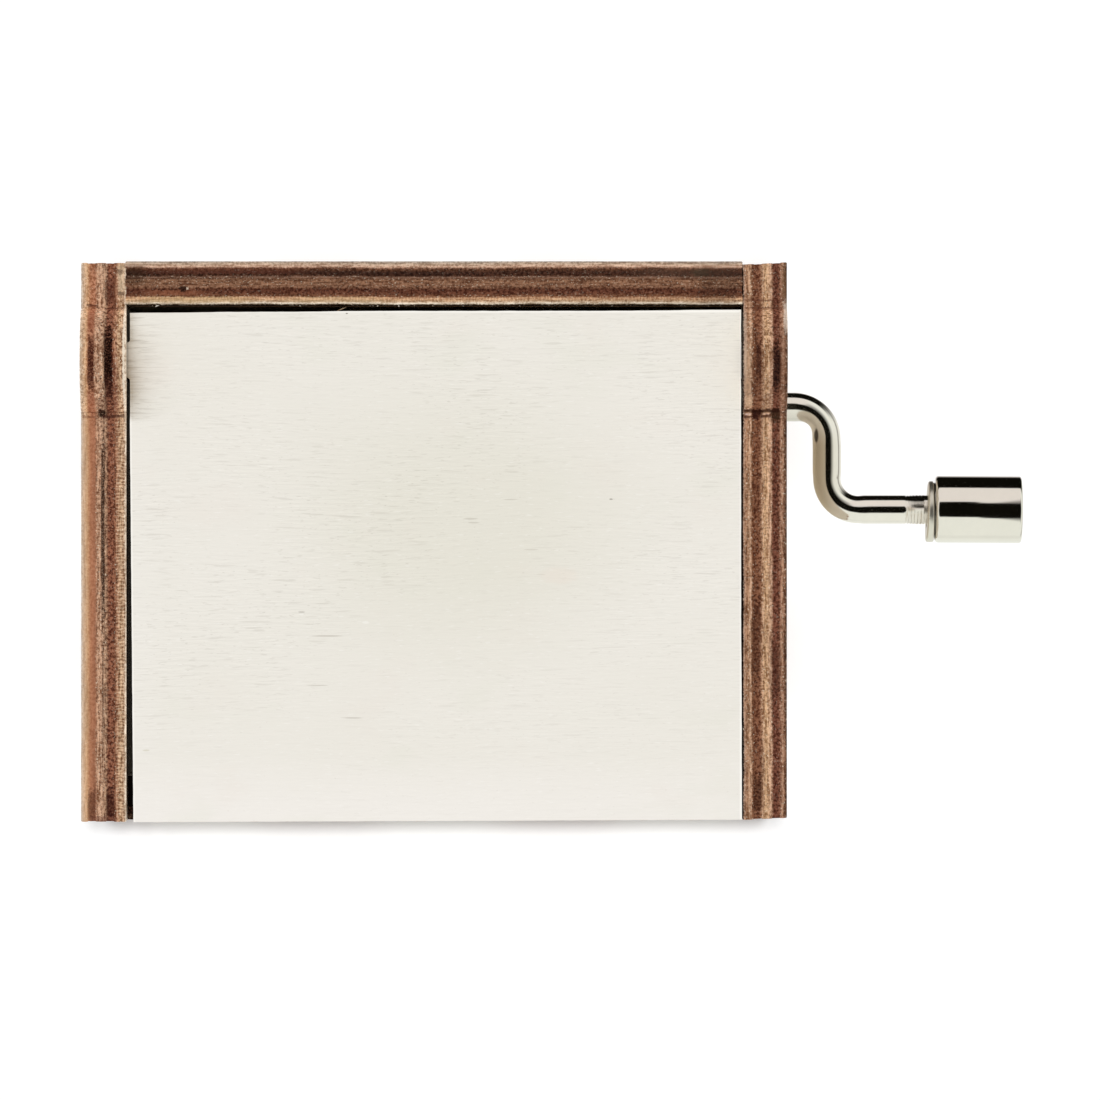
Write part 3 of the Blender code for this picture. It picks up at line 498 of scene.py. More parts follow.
def wood_face(name, along, seed, lid=False, slit_shade=None):
    """Veneer under a thin cream wash. along is the grain's axis: 0 X, 1 Y.

    The last argument names the plane, (axis, place), of an inner face that gets
    painted shade: it is darkened nearly black just under the rim, where it lines
    the slit beside the lid.
    """
    mat, g, shader = material(name, Roughness=0.62, Specular_IOR_Level=0.0)
    p = g.coords()
    axes = g.split(p)
    px, py, pz = axes
    u, v = axes[along], axes[1 - along]
    w = axes[2]
    if along == 1:  # the side walls stand in YZ
        v = axes[2]
        w = axes[0]
    elif not lid:
        v = g.math("ADD", axes[1], axes[2])
        w = axes[2]
    # the grain leans and waves a little over the sheet
    wave = g.noise(g.joined(g.math("MULTIPLY", u, 0.03), g.math("MULTIPLY", v, 0.05), seed), 1.0, 1.0)
    v = g.math("ADD", v, g.math("MULTIPLY", g.math("SUBTRACT", wave, 0.5), 1.6))
    flow = g.joined(u, v, g.math("ADD", g.math("MULTIPLY", w, 0.3), seed))

    def streaks(along_by, across_by, detail, rough=0.5, lift=0.0):
        spot = g.shifted(flow, (0, lift, 0)) if lift else flow
        return g.noise(g.scaled(spot, (along_by, across_by, across_by)), 1.0, detail, rough)

    fibre = streaks(0.13, 2.6, 6.0, 0.62)
    fine = streaks(0.9, 8.0, 3.0, 0.6)
    # painted shade and highlight: the grain's relief drawn in colour as a darker and a paler line side by side
    painted_relief_shade = g.math("SUBTRACT", streaks(0.42, 3.9, 3.0, 0.6), streaks(0.42, 3.9, 3.0, 0.6, lift=0.085))
    long_dash = g.step(streaks(0.34, 3.9, 1.0), 0.62, 0.72)
    mid_dash = g.step(g.noise(g.shifted(g.scaled(flow, (0.8, 5.2, 5.0)), (31.0, 0, 0)), 1.0, 1.0), 0.64, 0.73)
    short_dash = g.step(g.noise(g.shifted(g.scaled(flow, (1.9, 6.4, 5.0)), (57.0, 0, 0)), 1.0, 1.0), 0.67, 0.76)
    patch = g.noise(g.shifted(g.scaled(flow, (0.055, 0.075, 0.05)), (seed, 3.1, 0)), 1.0, 3.0, 0.55)
    dense = g.step(patch, 0.38, 0.60, 0.30, 1.0)
    speck = g.step(g.noise(g.scaled(flow, (3.4, 4.6, 4.0)), 1.0, 0.0), 0.79, 0.85)

    if lid:
        greenish, pinkish = lin(232, 228.5, 216.5), lin(244, 239.7, 233.5)
    else:
        greenish, pinkish = lin(226, 217, 198), lin(234, 223, 205)
    tint = g.noise(g.shifted(g.scaled(p, (0.06, 0.09, 0.06)), (seed + 7.0, 0, 0)), 1.0, 2.0)
    if lid:
        # the wash is thicker and cleaner away from the middle
        off_x = g.math("DIVIDE", g.math("SUBTRACT", px, 2.0), 20.0)
        off_y = g.math("DIVIDE", g.math("SUBTRACT", py, 1.5), 16.0)
        off = g.math("SQRT", g.math("ADD", g.math("MULTIPLY", off_x, off_x), g.math("MULTIPLY", off_y, off_y)))
        edge = g.step(off, 0.15, 1.15, 0.0, 0.52)
        edge = g.math("MAXIMUM", edge, g.step(py, -25.4, -12.0, 0.92, 0.0))
        edge = g.math("MAXIMUM", edge, g.step(px, -27.6, -16.0, 0.62, 0.0))
        edge = g.math("ADD", edge, g.math("MULTIPLY", g.math("SUBTRACT", tint, 0.5), 0.30), clamp=True)
        dense = g.math("MULTIPLY", dense, g.step(py, -24.0, -9.0, 0.22, 1.0))
    else:
        edge = g.step(tint, 0.35, 0.75)
    base = g.mix(edge, greenish, pinkish)
    blush = g.step(g.noise(g.shifted(g.scaled(p, (0.09, 0.12, 0.1)), (seed + 31.0, 0, 0)), 1.0, 3.0, 0.6), 0.54, 0.72)
    base = g.mix(g.math("MULTIPLY", blush, 0.16), base, lin(235, 224, 214))
    cool = g.step(g.noise(g.shifted(g.scaled(p, (0.10, 0.14, 0.1)), (seed + 63.0, 0, 0)), 1.0, 2.0, 0.6), 0.56, 0.72)
    base = g.mix(g.math("MULTIPLY", cool, 0.20), base, lin(226, 226, 211))
    tone = g.math("ADD", 0.963, g.math("MULTIPLY", fibre, 0.042))
    tone = g.math("ADD", tone, g.math("MULTIPLY", g.math("SUBTRACT", fine, 0.5), 0.04))
    # painted relief shading, where the grain is dense
    tone = g.math("ADD", tone, g.math("MULTIPLY", painted_relief_shade, g.math("MULTIPLY", dense, 0.20)))
    base = g.times(base, tone)
    marks = g.math("MAXIMUM", g.math("MULTIPLY", long_dash, 0.12), g.math("MAXIMUM", g.math("MULTIPLY", mid_dash, 0.12), g.math("MULTIPLY", short_dash, 0.14)))
    marks = g.math("MULTIPLY", marks, dense)
    base = g.mix(marks, base, lin(112, 98, 80))
    base = g.mix(g.math("MULTIPLY", speck, 0.07), base, lin(130, 114, 96))
    glint = g.step(g.noise(g.shifted(g.scaled(flow, (1.1, 6.2, 5.0)), (9.0, 0, 0)), 1.0, 1.0), 0.64, 0.74)
    base = g.mix(g.math("MULTIPLY", glint, 0.25), base, lin(253, 251, 246))
    if lid:
        outer = g.step(pz, PIVOT_Z - 0.2, PIVOT_Z + 0.2)
        for x, y, half_x, half_y, shade, strength in NICKS:
            # single open pores and a faint warm spot
            away_x = g.math("DIVIDE", g.math("SUBTRACT", px, x), half_x)
            away_y = g.math("DIVIDE", g.math("SUBTRACT", py, y), half_y)
            away = g.math("ADD", g.math("MULTIPLY", away_x, away_x), g.math("MULTIPLY", away_y, away_y))
            away = g.math("ADD", away, g.math("MULTIPLY", g.math("SUBTRACT", fine, 0.5), 1.2))
            base = g.mix(g.math("MULTIPLY", g.math("MULTIPLY", g.step(away, 0.3, 1.2, 1.0, 0.0), outer), strength), base, lin(*shade))
        # painted shade beside the left ear: darkest at the lid's left edge and fading inwards, with hairlines of the
        # grain darkened in it
        ragged = g.math("ADD", px, g.math("MULTIPLY", g.math("SUBTRACT", streaks(0.3, 2.4, 3.0, 0.6), 0.5), 0.9))
        length = g.math("DIVIDE", g.math("SUBTRACT", py, 10.0), 11.0, clamp=True)
        length = g.ramp(length, [(0.08, 0.0), (0.11, 0.45), (0.16, 0.60), (0.21, 0.68), (0.27, 0.90), (0.34, 1.0), (0.43, 1.0), (0.50, 0.85), (0.58, 0.80), (0.66, 0.72), (0.84, 0.72), (0.92, 0.54), (1.0, 0.50)])
        fade = g.math("MULTIPLY", g.math("ADD", ragged, 27.55), g.step(py, 17.8, 19.6, -1.0, -1.95))
        fade = g.math("MULTIPLY", g.math("MINIMUM", g.math("EXPONENT", fade), 1.15), g.math("MULTIPLY", length, outer))
        base = g.mix(g.math("MULTIPLY", fade, 0.68), base, lin(122, 98, 58))
        hairs = g.math("MAXIMUM", g.step(streaks(0.30, 4.4, 1.0), 0.55, 0.65), g.step(streaks(0.7, 5.6, 1.0), 0.59, 0.68))
        reach = g.math("MULTIPLY", g.step(ragged, -28.0, -24.0, 1.0, 0.0), g.math("MULTIPLY", g.step(length, 0.0, 0.6), outer))
        base = g.mix(g.math("MULTIPLY", g.math("MULTIPLY", hairs, reach), 0.26), base, lin(118, 102, 82))
        # painted highlight along the lid's bare cut corner at its left, right and back edges
        rim_left = g.math("MULTIPLY", g.step(g.math("SUBTRACT", px, g.math("MULTIPLY", g.math("SUBTRACT", 9.97, py), 0.0088)), -27.50, -27.36, 1.0, 0.0), g.step(py, 10.6, 11.8, 1.0, 0.15))
        rim_right = g.step(px, 27.66, 27.80)
        rim_back = g.step(py, 20.74, 20.86)
        off_ear = g.step(g.math("ABSOLUTE", g.math("SUBTRACT", py, PIVOT_Y)), 1.7, 2.2)
        rim_all = g.math("MAXIMUM", g.math("MULTIPLY", g.math("MAXIMUM", rim_left, rim_back), off_ear), rim_right)
        base = g.mix(g.math("MULTIPLY", rim_all, 0.8), base, lin(255, 252, 245))
        # painted shade: both ears are darkened nearly black where they run into the walls' holes, past the slit beside
        # the lid
        ear_hole_shade = g.math("MAXIMUM", g.step(px, 27.84, 27.88), g.step(px, -28.10, -28.0, 1.0, 0.0))
        ear_hole_shade = g.math("MULTIPLY", ear_hole_shade, g.step(g.math("ABSOLUTE", g.math("SUBTRACT", py, PIVOT_Y)), 1.72, 1.85, 1.0, 0.0))
        base = g.mix(g.math("MULTIPLY", ear_hole_shade, 0.96), base, lin(18, 10, 7))
    # painted shade: the inner face darkened nearly black just under the rim, where it lines the slit beside the lid
    if slit_shade:
        axis, place = slit_shade
        inner = g.step(g.math("ABSOLUTE", g.math("SUBTRACT", axes[axis], place)), 0.3, 0.5, 1.0, 0.0)
        low = g.math("ADD", pz, g.math("MULTIPLY", g.math("SUBTRACT", fibre, 0.5), 2.4))
        slit_shade_mask = g.math("MULTIPLY", g.step(low, 36.9, 39.0), g.step(pz, RIM_Z + 0.02, RIM_Z + 0.10, 1.0, 0.0))
        base = g.mix(g.math("MULTIPLY", g.math("MULTIPLY", slit_shade_mask, inner), 0.96), base, lin(20, 11, 8))
    g.put(shader.inputs["Base Color"], base)
    rough = g.math("ADD", 0.54, g.math("MULTIPLY", fibre, 0.16))
    g.put(shader.inputs["Roughness"], rough)
    height = g.math("SUBTRACT", g.math("MULTIPLY", fine, 0.35), g.math("MULTIPLY", marks, 6.0))
    height = g.math("ADD", height, g.math("MULTIPLY", fibre, 0.5))
    g.put(shader.inputs["Normal"], g.bump(height, 0.012, 0.8))
    return mat


def burnt_edge(name, axis, start, way, grain, cross, rim, upright, seed, patches=(), creases=(), ladder=None, grit=1.0, calm=None):
    """Laser-cut edge of five-ply.

    axis, start, way: the thickness runs along that axis from start, by way.
    grain is the axis along which plies 1, 3 and 5 run, cross that of 2 and 4.
    rim and upright list (depth, dark level, light level) through the thickness:
    rim for the edges that face up, upright for those that cut the outer plies'
    grain. Each spot is between its dark and its light level. calm, (depth, last),
    makes the plies down to that depth smoother along the grain up to last.
    """
    mat, g, shader = material(name, Roughness=0.8, Specular_IOR_Level=0.0)
    p = g.coords()
    axes = g.split(p)
    along = axes[grain]
    facing = g.split(g.facing)
    deep = g.math("MULTIPLY", g.math("SUBTRACT", axes[axis], start), way)

    def run(by, detail, rough, move=0.0):
        return g.noise(g.shifted(g.scaled(p, by), (move + seed, 0, 0)), 1.0, detail, rough)

    def lined(line, along_by, across_by):
        by = [across_by] * 3
        by[line] = along_by
        return by

    speck = run(3.7, 2.0, 0.75)
    grit_2 = run(7.5, 1.0, 0.5, 31.0)
    with_odd = run(lined(grain, 0.55, 5.2), 3.0, 0.65, 5.0)
    with_even = run(lined(cross, 0.55, 5.2), 3.0, 0.65, 40.0)
    drift = run(lined(axis, 0.0, 0.12), 1.0, 0.5, 3.0)
    shake = run(lined(axis, 0.3, 0.9), 2.0, 0.5, 9.0)
    t = g.math("ADD", deep, g.math("MULTIPLY", g.math("SUBTRACT", drift, 0.5), 0.22))
    t = g.math("ADD", t, g.math("MULTIPLY", g.math("SUBTRACT", shake, 0.5), 0.14))
    t = g.math("ADD", t, g.math("MULTIPLY", g.math("SUBTRACT", grit_2, 0.5), 0.20))
    share_t = g.math("DIVIDE", t, PLY)
    odd = g.ramp(share_t, [(0.0, 1.0), (PLIES[1] / PLY, 0.0), (PLIES[2] / PLY, 1.0), (PLIES[3] / PLY, 0.0), (PLIES[4] / PLY, 1.0)], "CONSTANT")
    fibres = g.mix(odd, with_even, with_odd)
    cut_end = g.step(g.math("ABSOLUTE", facing[grain]), 0.94, 0.98)

    def level(stops, pick):
        return g.ramp(share_t, [(max(0.0, min(1.0, stop[0] / PLY)), lin(*stop[pick])) for stop in stops])

    dark = g.mix(cut_end, level(rim, 1), level(upright, 1))
    light = g.mix(cut_end, level(rim, 2), level(upright, 2))
    both = g.mix(odd, g.math("ADD", g.math("MULTIPLY", speck, 0.80), g.math("MULTIPLY", fibres, 0.20)), g.math("ADD", g.math("MULTIPLY", speck, 0.45), g.math("MULTIPLY", fibres, 0.55)))
    share = g.step(both, 0.39, 0.61)
    even = 0.0
    if calm:
        even = g.math("MULTIPLY", g.step(t, calm[0] - 0.05, calm[0] + 0.05, 0.62, 0.0), g.step(along, calm[1] - 0.4, calm[1] + 0.4, 1.0, 0.0))
        share = g.math("ADD", share, g.math("MULTIPLY", even, g.math("SUBTRACT", with_odd, share)))
    rowdy = g.math("MULTIPLY", g.math("SUBTRACT", 1.0, even), g.math("ADD", 0.25, g.math("MULTIPLY", odd, 0.75)))
    colour = g.mix(share, dark, light)
    # long paler and darker stretches
    stretch = run(lined(grain, 0.16, 1.5), 3.0, 0.6, 71.0)
    colour = g.times(colour, g.math("ADD", 0.70, g.math("MULTIPLY", stretch, 0.62)))
    # pale torn fibre ends and open pores
    pale = g.step(run(lined(grain, 4.2, 7.0), 2.0, 0.7, 57.0), 0.59, 0.68)
    pores = g.step(run(lined(grain, 3.6, 6.2), 2.0, 0.7, 23.0), 0.60, 0.69)
    colour = g.mix(g.math("MULTIPLY", g.math("MULTIPLY", pores, rowdy), 0.60 * grit), colour, lin(34, 17, 12))
    colour = g.mix(g.math("MULTIPLY", g.math("MULTIPLY", pale, rowdy), 0.56 * grit), colour, lin(246, 230, 206))
    top = g.step(facing[2], 0.15, 0.35)
    if ladder:
        # lathe checks that cross a ply like the rungs of a ladder
        low, high, first, last, strength = ladder
        bent = g.math("ADD", g.math("MULTIPLY", along, 20.5), g.math("MULTIPLY", run(lined(grain, 1.1, 0.8), 2.0, 0.6, 90.0), 17.0))
        wave = g.math("SINE", bent)
        rung = g.step(wave, 0.05, 0.75)
        band = g.math("MULTIPLY", g.step(t, low, low + 0.1), g.step(t, high - 0.1, high, 1.0, 0.0))
        reach = g.math("MULTIPLY", g.step(along, first, first + 0.5), g.step(along, last - 0.5, last, 1.0, 0.0))
        band = g.math("MULTIPLY", g.math("MULTIPLY", band, reach), top)
        band = g.math("MULTIPLY", band, g.step(stretch, 0.30, 0.55, 0.35, 1.0))
        colour = g.mix(g.math("MULTIPLY", g.math("MULTIPLY", rung, band), strength), colour, lin(96, 58, 38))
        colour = g.mix(g.math("MULTIPLY", g.math("MULTIPLY", g.step(wave, -0.9, -0.5, 1.0, 0.0), band), strength * 0.6), colour, lin(242, 222, 190))
    for at, half, depth, thick, shade, strength in patches:
        # scorched or pale spots, ragged at their ends; at the front wall's ends they are painted shade under the slits
        # beside the lid
        far = g.math("DIVIDE", g.math("ABSOLUTE", g.math("SUBTRACT", along, at)), half)
        far = g.math("ADD", far, g.math("MULTIPLY", g.math("SUBTRACT", speck, 0.5), 1.3))
        out = g.math("DIVIDE", g.math("ABSOLUTE", g.math("SUBTRACT", t, depth)), thick)
        out = g.math("ADD", out, g.math("MULTIPLY", g.math("SUBTRACT", speck, 0.5), -1.2))
        spot = g.math("MULTIPLY", g.step(far, 0.5, 1.15, 1.0, 0.0), g.step(out, 0.75, 1.15, 1.0, 0.0))
        spot = g.math("MULTIPLY", g.math("MULTIPLY", spot, top), strength)
        spot = g.math("MULTIPLY", spot, g.step(grit_2, 0.40, 0.64, 1.0, 0.66))
        colour = g.mix(spot, colour, lin(*shade))
    for at, lean, half, low, high, shade, strength in creases:
        # painted shade: a dark line in the concave corner where a hump rises from the flat rim
        line = g.math("SUBTRACT", g.math("SUBTRACT", along, at), g.math("MULTIPLY", t, lean))
        line = g.math("ADD", line, g.math("MULTIPLY", g.math("SUBTRACT", shake, 0.5), 0.42))
        line = g.math("ADD", line, g.math("MULTIPLY", g.math("SUBTRACT", speck, 0.5), 0.34))
        line = g.step(g.math("ABSOLUTE", line), half * 0.45, half, 1.0, 0.0)
        line = g.math("MULTIPLY", line, g.math("MULTIPLY", g.step(t, low, low + 0.15), g.step(t, high - 0.15, high, 1.0, 0.0)))
        line = g.math("MULTIPLY", g.math("MULTIPLY", line, g.step(facing[2], 0.1, 0.3)), strength)
        colour = g.mix(line, colour, lin(*shade))
    if axis == 0:
        # painted light: the humps' steep feet catch less of the lamp, so their colour is brightened by up to 55% to
        # make up for it
        feet_painted_light = g.step(facing[2], 0.35, 0.95, 0.55, 0.0)
        feet_painted_light = g.math("MULTIPLY", feet_painted_light, g.step(axes[2], RIM_Z + 0.02, RIM_Z + 0.4))
        colour = g.times(colour, g.math("ADD", 1.0, feet_painted_light))
    g.put(shader.inputs["Base Color"], colour)
    g.put(shader.inputs["Roughness"], g.math("ADD", 0.66, g.math("MULTIPLY", speck, 0.25)))
    height = g.math("ADD", g.math("MULTIPLY", fibres, 0.8), g.math("MULTIPLY", speck, 0.9))
    height = g.math("SUBTRACT", height, g.math("MULTIPLY", pores, 0.4))
    g.put(shader.inputs["Normal"], g.bump(height, 0.03, 0.8))
    return mat


# the walls' inner faces get painted shade under the rim, in the slits beside the lid
face_left = wood_face("washed_veneer_left", 1, 5.0, slit_shade=(0, -IN_W))
face_right = wood_face("washed_veneer_right", 1, 15.0, slit_shade=(0, IN_W))
face_back = wood_face("washed_veneer_back", 0, 2.0, slit_shade=(1, 21.45))
face_x = wood_face("washed_veneer_x", 0, 12.0)
face_lid = wood_face("washed_veneer_lid", 0, 8.0, lid=True)

UPRIGHT = [
    (0.0, (120, 82, 58), (190, 150, 116)),
    (0.55, (100, 66, 46), (176, 134, 100)),
    (0.68, (120, 84, 60), (196, 156, 118)),
    (1.28, (112, 76, 54), (190, 148, 112)),
    (1.4, (78, 48, 36), (150, 108, 80)),
    (2.2, (84, 52, 38), (156, 112, 84)),
    (2.34, (116, 80, 58), (194, 152, 116)),
    (2.92, (110, 76, 54), (188, 148, 112)),
    (3.05, (88, 56, 40), (160, 118, 88)),
    (3.85, (104, 70, 50), (178, 136, 104)),
    (4.0, (170, 140, 112), (226, 204, 176)),
]
RIM_LEFT = [
    (0.0, (190, 170, 158), (242, 234, 228)),
    (0.10, (174, 146, 122), (228, 206, 182)),
    (0.30, (166, 132, 104), (224, 188, 156)),
    (0.56, (172, 128, 90), (226, 184, 144)),
    (0.70, (154, 104, 72), (206, 156, 118)),
    (0.86, (140, 86, 58), (190, 134, 102)),
    (1.22, (130, 80, 54), (182, 126, 98)),
    (1.34, (120, 78, 56), (188, 136, 106)),
    (1.46, (116, 76, 54), (210, 166, 136)),
    (1.76, (120, 80, 56), (218, 176, 146)),
    (2.10, (100, 66, 48), (204, 164, 134)),
    (2.30, (98, 66, 50), (190, 150, 120)),
    (2.42, (84, 48, 34), (150, 104, 80)),
    (2.52, (76, 36, 26), (152, 98, 74)),
    (3.02, (80, 42, 28), (156, 104, 80)),
    (3.14, (92, 54, 38), (170, 120, 90)),
    (3.28, (112, 70, 48), (212, 162, 130)),
    (3.58, (118, 80, 50), (226, 188, 150)),
    (3.86, (116, 78, 50), (220, 182, 150)),
    (3.95, (138, 108, 82), (232, 202, 172)),
    (4.0, (178, 152, 126), (246, 228, 206)),
]
RIM_RIGHT = [
    (0.0, (56, 38, 28), (150, 122, 104)),
    (0.10, (54, 34, 24), (118, 88, 68)),
    (0.20, (68, 40, 28), (134, 96, 74)),
    (0.32, (104, 70, 50), (178, 136, 110)),
    (0.44, (116, 78, 56), (192, 150, 122)),
    (0.58, (104, 66, 48), (178, 134, 110)),
    (0.68, (80, 46, 32), (148, 102, 80)),
    (0.80, (70, 36, 26), (126, 80, 62)),
    (1.22, (66, 32, 22), (122, 76, 60)),
    (1.30, (80, 50, 34), (144, 100, 76)),
    (1.40, (128, 92, 70), (216, 172, 144)),
    (1.76, (138, 98, 66), (230, 188, 150)),
    (2.00, (124, 88, 58), (214, 172, 132)),
    (2.14, (126, 88, 62), (220, 178, 144)),
    (2.30, (102, 66, 44), (180, 138, 108)),
    (2.42, (84, 48, 32), (150, 106, 80)),
    (2.56, (78, 42, 28), (138, 92, 68)),
    (3.06, (76, 40, 26), (134, 90, 66)),
    (3.16, (84, 52, 34), (148, 104, 76)),
    (3.28, (132, 96, 72), (216, 174, 144)),
    (3.42, (126, 90, 64), (206, 164, 132)),
    (3.58, (100, 66, 42), (176, 132, 102)),
    (3.76, (108, 72, 50), (188, 146, 116)),
    (3.88, (110, 80, 62), (194, 158, 134)),
    (3.94, (92, 68, 54), (170, 142, 124)),
    # painted shade: the last stops darken the inner rim nearly black where it lines the slit beside the lid
    (3.975, (14, 4, 2), (28, 12, 8)),
    (4.0, (10, 3, 1), (20, 8, 4)),
]
RIM_BACK = [
    (0.0, (150, 136, 122), (214, 202, 190)),
    (0.12, (130, 110, 94), (188, 166, 148)),
    (0.22, (146, 118, 96), (212, 186, 162)),
    (0.48, (164, 124, 100), (234, 196, 170)),
    (0.56, (130, 94, 74), (194, 154, 130)),
    (0.66, (72, 42, 28), (124, 84, 64)),
    (0.78, (56, 32, 20), (96, 62, 44)),
    (1.00, (42, 24, 18), (76, 50, 40)),
    (1.28, (42, 22, 14), (78, 48, 34)),
    (1.36, (62, 40, 30), (106, 76, 60)),
    (1.46, (96, 68, 54), (142, 108, 90)),
    (1.56, (76, 48, 34), (120, 86, 66)),
    (1.75, (84, 52, 36), (150, 110, 84)),
    (2.34, (86, 54, 38), (150, 110, 86)),
    (2.46, (64, 34, 22), (116, 78, 58)),
    (2.58, (56, 26, 18), (102, 62, 46)),
    (2.92, (66, 34, 24), (116, 74, 56)),
    (3.08, (68, 38, 24), (124, 82, 60)),
    (3.20, (90, 54, 36), (146, 102, 76)),
    (3.32, (146, 100, 72), (218, 170, 132)),
    (3.42, (152, 108, 76), (226, 180, 140)),
    (3.58, (138, 100, 70), (212, 172, 134)),
    (3.72, (158, 130, 102), (236, 212, 184)),
    (3.82, (186, 164, 138), (252, 240, 220)),
    # painted shade: the last stops darken the inner rim nearly black where it lines the slit beside the lid
    (3.91, (54, 38, 24), (104, 84, 62)),
    (4.0, (10, 4, 1), (28, 16, 10)),
]
RIM_FRONT = [
    (0.0, (176, 140, 108), (232, 206, 174)),
    (0.52, (160, 118, 86), (222, 184, 148)),
    (0.64, (70, 42, 34), (134, 90, 68)),
    (1.28, (74, 44, 36), (138, 94, 72)),
    (1.38, (118, 82, 62), (196, 156, 124)),
    (2.24, (120, 84, 64), (198, 158, 126)),
    (2.34, (74, 42, 32), (138, 90, 66)),
    (2.92, (80, 46, 34), (146, 96, 70)),
    (3.06, (160, 116, 82), (224, 184, 144)),
    (3.84, (166, 124, 90), (232, 196, 156)),
    (4.0, (214, 196, 170), (242, 230, 208)),
]

edge_left = burnt_edge(
    "burnt_ply_left", 0, -HALF_W, 1.0, 1, 2, RIM_LEFT, UPRIGHT, 3.0,
    patches=[
        (20.1, 1.3, 0.98, 0.30, (132, 74, 54), 0.55),
        (16.1, 2.9, 1.05, 0.29, (62, 28, 20), 1.0),
        (12.6, 1.1, 0.96, 0.34, (146, 88, 66), 0.45),
        (16.4, 3.6, 2.62, 0.40, (24, 10, 7), 1.12),
        (22.6, 1.6, 2.62, 0.40, (64, 30, 24), 0.6),
        (11.65, 0.42, 1.92, 0.34, (14, 8, 6), 1.0),
        (12.3, 0.8, 2.0, 0.45, (64, 38, 30), 0.45),
        (1.2, 10.4, 1.97, 0.17, (40, 24, 18), 0.92),
        (-14.5, 7.0, 1.97, 0.09, (78, 52, 38), 0.55),
        (14.5, 3.2, 3.3, 0.32, (110, 62, 48), 0.42),
        (22.9, 1.9, 3.1, 0.22, (92, 54, 40), 0.5),
        (16.4, 4.7, 4.02, 0.11, (240, 226, 206), 0.75),
        (13.6, 1.6, 2.62, 0.40, (60, 30, 24), 0.5),
        (23.8, 1.5, 3.62, 0.30, (238, 216, 184), 0.40),
        (24.5, 0.26, 3.50, 0.34, (68, 42, 30), 0.65),
        (22.5, 0.22, 3.60, 0.34, (68, 42, 30), 0.65),
        (-25.1, 0.28, 1.9, 1.2, (104, 64, 54), 0.6),
        (-23.8, 1.6, 0.98, 0.36, (56, 26, 20), 0.7),
        (-23.8, 1.7, 2.66, 0.38, (46, 18, 15), 0.85),
        (-23.4, 1.4, 1.35, 0.12, (120, 78, 58), 0.5),
    ],
    creases=[
        (11.36, 0.0, 0.19, 1.9, 4.0, (66, 36, 28), 0.75),
        (11.36, 0.0, 0.15, 0.1, 1.5, (118, 74, 54), 0.55),
        (21.40, 0.0, 0.14, 0.4, 1.5, (70, 34, 26), 0.7),
        (21.15, 0.0, 0.10, 2.2, 3.9, (92, 52, 40), 0.5),
    ],
    ladder=(3.12, 3.98, -25.0, 11.2, 0.38),
    calm=(1.33, 11.3),
)
edge_right = burnt_edge(
    "burnt_ply_right", 0, HALF_W, -1.0, 1, 2, RIM_RIGHT, UPRIGHT, 13.0,
    patches=[
        (14.8, 3.6, 2.0, 2.3, (84, 52, 36), 0.26),
        (15.8, 2.3, 0.98, 0.34, (22, 12, 12), 0.90),
        (16.4, 1.9, 2.62, 0.22, (44, 20, 16), 0.75),
        (23.4, 1.8, 0.25, 0.24, (98, 72, 50), 0.6),
        (20.4, 1.6, 0.15, 0.2, (232, 214, 196), 0.6),
        (17.8, 3.6, 3.84, 0.16, (196, 172, 152), 0.5),
        (11.45, 0.66, 0.98, 0.42, (48, 34, 22), 0.9),
        (11.58, 0.52, 2.70, 0.46, (42, 18, 16), 0.94),
        (12.6, 0.9, 1.85, 0.40, (104, 70, 56), 0.45),
        (11.62, 0.09, 1.85, 0.30, (216, 182, 162), 0.6),
        (11.58, 0.10, 3.52, 0.26, (222, 196, 184), 0.65),
        (12.70, 0.55, 3.50, 0.34, (228, 194, 160), 0.45),
        (16.2, 4.4, 0.44, 0.30, (106, 70, 50), 0.35),
        (15.4, 3.0, 3.62, 0.30, (226, 192, 158), 0.30),
        (-9.0, 4.5, 2.80, 0.40, (50, 26, 18), 0.5),
        (-11.5, 3.2, 1.00, 0.50, (60, 34, 26), 0.5),
        (-22.9, 2.0, 2.70, 0.40, (30, 14, 10), 0.6),
    ],
    creases=[
        (11.84, 0.01, 0.19, 0.55, 4.0, (42, 20, 14), 0.86),
        (11.40, -0.02, 0.13, 1.35, 2.4, (66, 36, 28), 0.8),
        (11.40, -0.02, 0.13, 3.05, 4.0, (66, 36, 28), 0.8),
        (21.2, 0.0, 0.12, 0.2, 3.9, (104, 62, 46), 0.45),
        (21.9, 0.0, 0.12, 0.2, 3.9, (86, 46, 34), 0.55),
    ],
)
edge_back = burnt_edge(
    "burnt_ply_back", 1, Y_BACK_OUT, -1.0, 0, 2, RIM_BACK, UPRIGHT, 23.0,
    patches=[
        (-27.2, 1.2, 1.2, 0.9, (30, 24, 16), 0.5),
        (-23.5, 2.9, 2.84, 0.22, (168, 106, 76), 0.34),
        (-22.75, 0.36, 2.50, 0.26, (18, 10, 8), 0.95),
        (-22.35, 0.12, 2.46, 0.10, (214, 196, 176), 0.8),
        (24.2, 0.9, 1.0, 0.36, (54, 56, 42), 0.55),
        (23.0, 5.0, 0.98, 0.42, (104, 78, 64), 0.30),
        (25.9, 2.2, 2.2, 1.9, (46, 32, 25), 0.42),
        (19.5, 8.5, 3.4, 0.42, (98, 62, 44), 0.30),
        (-5.0, 9.0, 1.12, 0.20, (36, 24, 20), 0.4),
        (-19.0, 8.0, 0.86, 0.30, (112, 62, 48), 0.30),
        (-22.0, 6.0, 3.50, 0.30, (200, 174, 128), 0.40),
        (-9.0, 5.0, 3.50, 0.28, (206, 178, 134), 0.30),
    ],
    ladder=(3.16, 3.74, -28.0, 28.0, 0.22),
    grit=0.7,
)
